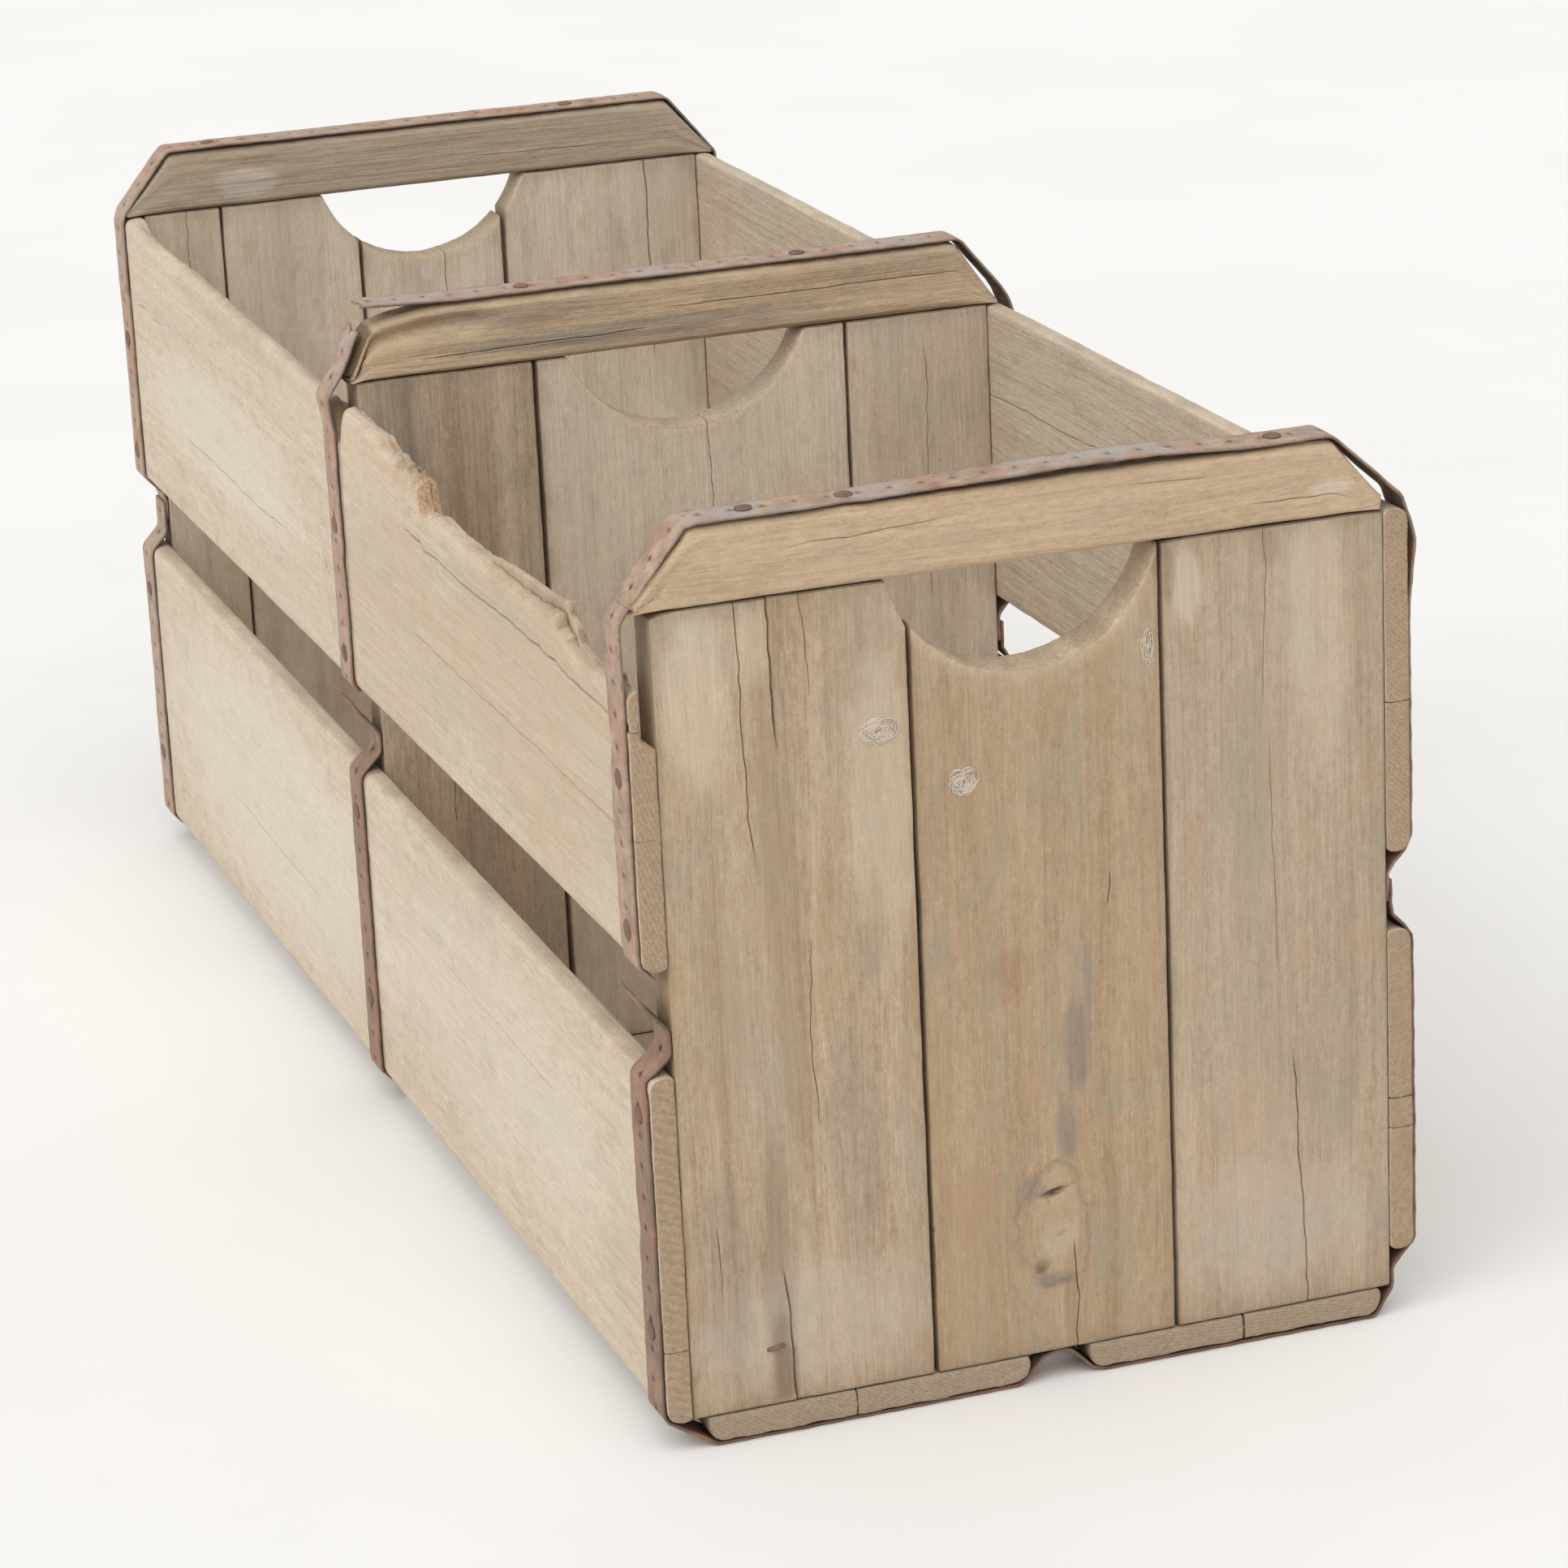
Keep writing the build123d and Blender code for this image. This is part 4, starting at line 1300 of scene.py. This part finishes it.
def rounded_path(points, radius):
    """Points of a line of straight runs joined by arcs, and how far along it each lies."""
    points = [np.array(p, float) for p in points]
    dense = [points[0]]
    for before, corner, after in zip(points, points[1:], points[2:]):
        back, ahead = before - corner, after - corner
        run_back, run_ahead = np.linalg.norm(back), np.linalg.norm(ahead)
        back, ahead = back / run_back, ahead / run_ahead
        angle = math.acos(float(np.clip(back @ ahead, -1, 1)))
        if angle > math.pi - 0.01:
            continue
        cut = min(radius / math.tan(angle / 2), run_back * 0.48, run_ahead * 0.48)
        bend = cut * math.tan(angle / 2)
        middle = corner + (back + ahead) / np.linalg.norm(back + ahead) * bend / math.sin(angle / 2)
        start, end = corner + back * cut, corner + ahead * cut
        a0 = math.atan2(*(start - middle)[::-1])
        sweep = (math.atan2(*(end - middle)[::-1]) - a0 + math.pi) % (2 * math.pi) - math.pi
        for share in np.linspace(0, 1, 9):
            turn = a0 + sweep * share
            dense.append(middle + bend * np.array([math.cos(turn), math.sin(turn)]))
    dense = np.array(dense + [points[-1]])
    reach = np.concatenate([[0], np.cumsum(np.linalg.norm(np.diff(dense, axis=0), axis=1))])
    return reach, dense


def strap_places(length):
    """Stations along a strap, with three at each punched hole, and the holes' numbers."""
    places, holes = [0.0], []
    centre = FIRST_HOLE
    while centre < length - 5:
        places += [centre - 3.6, centre - 1.5, centre, centre + 1.5, centre + 3.6]
        holes.append(len(places) - 3)
        centre += HOLE_PITCH
    places = [p for p in places if p >= 0]
    tail = np.arange(places[-1] + 2.5, length - 1, 2.5)
    return np.array(places + list(tail) + [length]), holes


def punch(s, t, stations, holes, grain):
    """The cells that are kept beside the punched holes, two by two cells left out at each.

    The corners round a hole are drawn on to an ellipse.
    """
    middle = t.shape[1] // 2
    keep = np.ones((t.shape[0] - 1, t.shape[1] - 1), bool)
    for hole in holes:
        keep[hole - 1 : hole + 1, middle - 1 : middle + 1] = False
        size = 1.15 + 0.25 * grain(hole * 1.7, 1.0)
        for di in (-1, 0, 1):
            for dj in (-1, 0, 1):
                if di or dj:
                    turn = math.atan2(dj, di)
                    s[hole + di, middle + dj] = stations[hole] + 1.35 * size * math.cos(turn)
                    t[hole + di, middle + dj] = t[hole, middle] + size * math.sin(turn)
    return keep


def two_skins(keep):
    """The vertices in use, the outer cells and all faces of a sheet, from the cells it keeps."""
    rows, columns = keep.shape[0] + 1, keep.shape[1] + 1
    number = np.arange(rows * columns).reshape(rows, columns)
    used = np.zeros((rows, columns), bool)
    for di, dj in ((0, 0), (1, 0), (0, 1), (1, 1)):
        used[di : rows - 1 + di, dj : columns - 1 + dj] |= keep
    total = int(used.sum())
    remap = -np.ones(rows * columns, int)
    remap[used.ravel()] = np.arange(total)
    corners = [number[:-1, :-1], number[1:, :-1], number[1:, 1:], number[:-1, 1:]]
    cells = remap[np.stack(corners, -1)[keep]]
    directed = np.concatenate([cells[:, [a, (a + 1) % 4]] for a in range(4)]).tolist()
    known = {tuple(edge) for edge in directed}
    walls = [[b, a, a + total, b + total] for a, b in directed if (b, a) not in known]
    return used, cells, np.concatenate([cells, cells[:, ::-1] + total, np.array(walls)])


def strap(name, seed, look, ragged_start=0.0, ragged_end=0.0, bites=()):
    """A punched iron strap, wavy and torn, bent along its path.

    bites are (place along, side, depth, length) notches rusted into an edge.
    """
    y, path = STRAPS[name]
    grain = Grain(seed)
    reach, line = rounded_path(path, STRAP_BEND)
    length = reach[-1]
    stations, holes = strap_places(length)
    across = np.array([-STRAP_HALF, -8.6, -6.2, -3.4, -1.25, 0, 1.25, 3.4, 6.2, 8.6, STRAP_HALF])
    s, t = np.meshgrid(stations, across, indexing="ij")

    # The strap's edges bulge at each hole and wander
    phase = 2 * math.pi * (s - FIRST_HOLE) / HOLE_PITCH
    bulge = 0.30 * np.cos(phase) + 0.45 * grain.rough(s / 19, np.sign(t) * 4, 3) - 0.35
    t = t * (1 + bulge / STRAP_HALF)
    for place, side, depth, size in bites:
        bite = depth * np.exp(-(((s - place) / size) ** 2))
        t = t - side * bite * smooth(side * t, 2, STRAP_HALF)
    t = t + 0.5 * grain(s / 60, 2.0)
    if ragged_start:
        s = s + ragged_start * np.exp(-s / 7) * np.abs(grain.rough(t / 2.5, 3.0, 2))
    if ragged_end:
        s = s - ragged_end * np.exp(-(length - s) / 7) * np.abs(grain.rough(t / 2.5, 6.0, 2))
    s = np.clip(s, 0, length)

    keep = punch(s, t, stations, holes, grain)
    x = np.interp(s, reach, line[:, 0])
    z = np.interp(s, reach, line[:, 1])
    dx = np.interp(s + 0.6, reach, line[:, 0]) - np.interp(s - 0.6, reach, line[:, 0])
    dz = np.interp(s + 0.6, reach, line[:, 1]) - np.interp(s - 0.6, reach, line[:, 1])
    size = np.maximum(np.hypot(dx, dz), 1e-6)
    nx, nz = -dz / size, dx / size
    outwards = np.sign(np.median(nx * x + nz * (z - 180)))
    nx, nz = nx * outwards, nz * outwards
    centre_hole = np.exp(-((t / 4) ** 2)) * (0.5 + 0.5 * np.cos(phase))
    lift = 0.55 * np.clip(grain.rough(s / 34, t / 26, 3), 0, 1) + 0.22 * centre_hole
    lift = np.where(z < 12, 0.0, lift) * (1 - smooth(z, 371.8, 373))
    lift = lift * (1 - smooth(np.abs(x), 162.5, 163.5))
    x, z = x + nx * lift, z + nz * lift
    thin = STRAP_THICK / 2 * (0.80 + 0.12 * grain.rough(s / 8, t / 8, 2))

    used, cells, faces = two_skins(keep)
    outer = np.stack([x + nx * thin, y + t, z + nz * thin], -1)[used]
    inner = np.stack([x - nx * thin, y + t, z - nz * thin], -1)[used]
    # cells turn with u x v = (along, Y), which faces outwards or inwards by the path's sense
    edge_1 = outer[cells[:, 1]] - outer[cells[:, 0]]
    edge_2 = outer[cells[:, 3]] - outer[cells[:, 0]]
    outward = np.stack([nx, 0 * nx, nz], -1)[used][cells[:, 0]]
    if np.median(np.einsum("ij,ij->i", np.cross(edge_1, edge_2), outward)) < 0:
        faces = faces[:, ::-1]
    points = np.concatenate([outer, inner])

    hole_edge = np.exp(-((np.abs(t) / 2.2) ** 2)) * smooth(np.cos(phase), 0.75, 1.0)
    side_edge = np.exp(-(STRAP_HALF - np.abs(t)))
    grime = (0.55 * hole_edge + 0.25 * side_edge)[used]
    rust = (0.5 * smooth(grain.rough(s / 12, t / 12, 3), 0.2, 0.6))[used]
    painted = {
        "grime": np.concatenate([grime, grime * 0 + 0.6]),
        "fresh": np.concatenate([rust * 0.6, rust]),
    }
    return make_piece(f"{name}_rusted", points, faces, look, [name], painted)


near_strap_look = iron("near_strap_rust", 3.0, PINK_RUST, SLATE, 0.75, 0.35, patch_above=366)
lower_strap_look = iron("lower_strap_rust", 5.5, DARK_RUST, (0.18, 0.135, 0.11), 0.3, 0.35)
middle_strap_look = iron("middle_strap_rust", 8.0, BEIGE_RUST, SLATE, 0.5, 0.25, patch_above=340)
far_strap_look = iron("far_strap_rust", 11.0, PINK_RUST, SLATE, 0.3, 0.30, 0.3)

near_upper_bites = ((95, 1, 2.5, 4), (250, -1, 1.5, 6))
near_lower_bites = ((45, -1, 2.5, 4), (110, 1, 2.0, 5))
middle_left_bites = ((60, -1, 2.0, 5), (150, 1, 3.0, 6))
strap("near_strap_upper", 71, near_strap_look, ragged_start=2.5, bites=near_upper_bites)
strap("near_strap_lower", 72, lower_strap_look, ragged_start=7.0, bites=near_lower_bites)
strap("middle_strap_upper", 73, middle_strap_look, ragged_start=6.0)
strap("middle_strap_left", 74, middle_strap_look, ragged_end=7.0, bites=middle_left_bites)
strap("middle_strap_lower", 75, lower_strap_look, ragged_start=7.0)
strap("far_strap_upper", 76, far_strap_look)
strap("far_strap_lower", 77, far_strap_look)

# ---------------------------------------------------------------------------------------------
# Nails

SIDE_NAIL_LEVELS = (275.0, 215.0, 140.0, 50.0)
FLOOR_NAILS = (-120.0, -28.0, 36.0, 122.0)
TOP_NAILS = {"near": (-108.0, -68.0, 108.0), "middle": (-69.0, 62.0), "far": (-112.0, 82.0)}
RAIL_NAILS = {
    "near": (-124.0, -88.0, 84.0, 122.0),
    "middle": (-104.0, -84.0, 88.0, 120.0),
    "far": (-128.0, -84.0, 66.0, 118.0),
}
nail_look = iron("nail_rust", 14.0, (0.21, 0.125, 0.085), (0.15, 0.13, 0.12), 0.3, 0.4)


def tube_faces(rings, segments, turned=False):
    """Quads between rings of vertices, and a cap at each end."""
    faces = []
    for ring in range(rings - 1):
        for n in range(segments):
            a, b = ring * segments + n, ring * segments + (n + 1) % segments
            quad = (a, b, b + segments, a + segments)
            faces.append((a, *quad[:0:-1]) if turned else quad)
    first, last = tuple(range(segments)), tuple(range((rings - 1) * segments, rings * segments))
    return faces + ([first, last[::-1]] if turned else [first[::-1], last])


def nail_points(place, outward, profile, grain, key):
    """A nail turned about outward from (distance in, radius) pairs, its outline uneven."""
    segments = 20
    outward = Vector(outward)
    side = outward.orthogonal().normalized()
    other = outward.cross(side)
    rings = []
    for level, radius in profile:
        for n in range(segments):
            turn = 2 * math.pi * n / segments
            uneven = 1 + 0.10 * float(grain(2.2 * math.cos(turn) + key, 2.2 * math.sin(turn) + key))
            spoke = side * math.cos(turn) * 1.08 + other * math.sin(turn) * 0.94
            rings.append(np.array(Vector(place) + outward * level + spoke * radius * uneven))
    return rings, tube_faces(len(profile), segments)


def nail_group(name, node, places, profile, seed):
    """One piece with every nail of a CAD node, at (place, outward) pairs."""
    grain = Grain(seed)
    points, faces = [], []
    for key, (place, outward) in enumerate(places):
        some_points, some_faces = nail_points(place, outward, profile, grain, key * 3.7)
        base = len(points)
        points += some_points
        faces += [tuple(base + n for n in face) for face in some_faces]
    return make_piece(name, points, faces, nail_look, [node])


# (level, radius) from the point to the crown: a clout nail's low dome and a long nail's flat head
CLOUT_SHANK = ((-23, 0.2), (-20, 1.2), (-0.2, 1.2))
CLOUT = CLOUT_SHANK + ((-0.1, 3.5), (0.15, 3.95), (0.55, 3.7), (0.9, 2.9), (1.15, 1.6), (1.2, 0.4))
LONG_SHANK = ((-73, 0.3), (-68, 1.7), (-1.6, 1.7))
LONG_NAIL = LONG_SHANK + ((-1.4, 3.2), (-0.3, 3.5), (0.1, 3.2), (0.2, 1.0), (0.2, 0.3))

for panel, y in (("near", NEAR_Y), ("middle", MIDDLE_Y), ("far", FAR_Y)):
    face = OUT + STRAP_THICK / 2
    places = [((side * face, y, z), (side, 0, 0)) for side in (-1, 1) for z in SIDE_NAIL_LEVELS]
    places += [((x, y, RAIL_TOP + STRAP_THICK), (0, 0, 1)) for x in TOP_NAILS[panel]]
    places += [((x, y, 1.2), (0, 0, -1)) for x in FLOOR_NAILS]
    nail_group(f"{panel}_clout_nails", f"{panel}_strap_nails", places, CLOUT, 81)
    places = [((x, y, RAIL_TOP - 0.2), (0, 0, 1)) for x in RAIL_NAILS[panel]]
    nail_group(f"{panel}_long_nails", f"{panel}_rail_nails", places, LONG_NAIL, 82)


def stray_nail():
    """The bent-over nail: a short arm that curves down into the board."""
    into_board = [(-118.2, -411.5, 37.0), (-118.2, -424.2, 37.0), (-117.4, -424.9, 37.0)]
    bent_over = [(-114.5, -425.0, 37.2), (-111.2, -424.9, 38.0)]
    line = np.array(into_board + bent_over)
    grain = Grain(83)
    segments = 12
    points = []
    for n, centre in enumerate(line):
        ahead = line[min(n + 1, len(line) - 1)] - line[max(n - 1, 0)]
        ahead = Vector(ahead).normalized()
        side = ahead.cross(Vector((0, 0, 1))).normalized()
        up = side.cross(ahead)
        for k in range(segments):
            turn = 2 * math.pi * k / segments
            radius = 0.95 + 0.1 * float(grain(n * 1.3, k * 0.9))
            spoke = (side * math.cos(turn) + up * math.sin(turn)) * radius
            points.append(np.array(Vector(centre) + spoke))
    faces = tube_faces(len(line), segments, turned=True)
    make_piece("bent_nail_rusted", points, faces, nail_look, ["bent_nail"])


stray_nail()

# ---------------------------------------------------------------------------------------------
# Floor, light and camera


def studio_floor():
    graph = Graph("pale_floor")
    tone = graph.noise(graph.stretch((3, 3, 3)), 1.0, 4.0)
    graph.feed(
        graph.shader.inputs["Base Color"],
        graph.blend(graph.between(tone, 0.35, 0.65), (0.86, 0.855, 0.845), (0.89, 0.887, 0.88)),
    )
    graph.shader.inputs["Roughness"].default_value = 0.8
    half = 30.0
    mesh = bpy.data.meshes.new("floor")
    corners = [(-half, -half, 0), (half, -half, 0), (half, half, 0), (-half, half, 0)]
    mesh.from_pydata(corners, [], [(0, 1, 2, 3)])
    mesh.materials.append(graph.material)
    floor = bpy.data.objects.new("floor", mesh)
    bpy.context.scene.collection.objects.link(floor)


def lamp(name, towards, strength, spread):
    """Soft light from far away in the direction towards, spread over an angle in degrees."""
    light = bpy.data.lights.new(name, "SUN")
    light.energy = strength
    light.angle = math.radians(spread)
    made = bpy.data.objects.new(name, light)
    made.rotation_euler = Vector(towards).to_track_quat("Z", "Y").to_euler()
    bpy.context.scene.collection.objects.link(made)


def studio():
    studio_floor()
    world = bpy.data.worlds.new("studio")
    world.use_nodes = True
    world.node_tree.nodes["Background"].inputs[0].default_value = (1.0, 0.99, 0.97, 1)
    world.node_tree.nodes["Background"].inputs[1].default_value = 0.66
    bpy.context.scene.world = world
    lamp("front_top_light", (-0.24, -0.50, 0.83), 1.25, 60)
    lamp("left_light", (-0.80, -0.20, 0.57), 0.62, 50)


def camera():
    """The photograph's view: where it looks, from which side, how tilted and how far."""
    target = Vector((-9.674, -158.948, 175.067)) * MM
    azimuth, elevation, roll = (math.radians(a) for a in (-18.824, 18.007, -2.758))
    distance = 2231.17 * MM
    back = Vector(
        (
            math.sin(azimuth) * math.cos(elevation),
            -math.cos(azimuth) * math.cos(elevation),
            math.sin(elevation),
        )
    )
    right = Vector((math.cos(azimuth), math.sin(azimuth), 0))
    up = back.cross(right)
    turned_right = right * math.cos(roll) + up * math.sin(roll)
    turned_up = up * math.cos(roll) - right * math.sin(roll)
    lens = bpy.data.cameras.new("camera")
    lens.sensor_width = 36.0
    lens.lens = 117.92
    made = bpy.data.objects.new("camera", lens)
    place = Matrix((turned_right, turned_up, back)).transposed().to_4x4()
    place.translation = target + back * distance
    made.matrix_world = place
    bpy.context.scene.collection.objects.link(made)
    bpy.context.scene.camera = made


studio()
camera()
bpy.context.scene.view_settings.view_transform = "Standard"
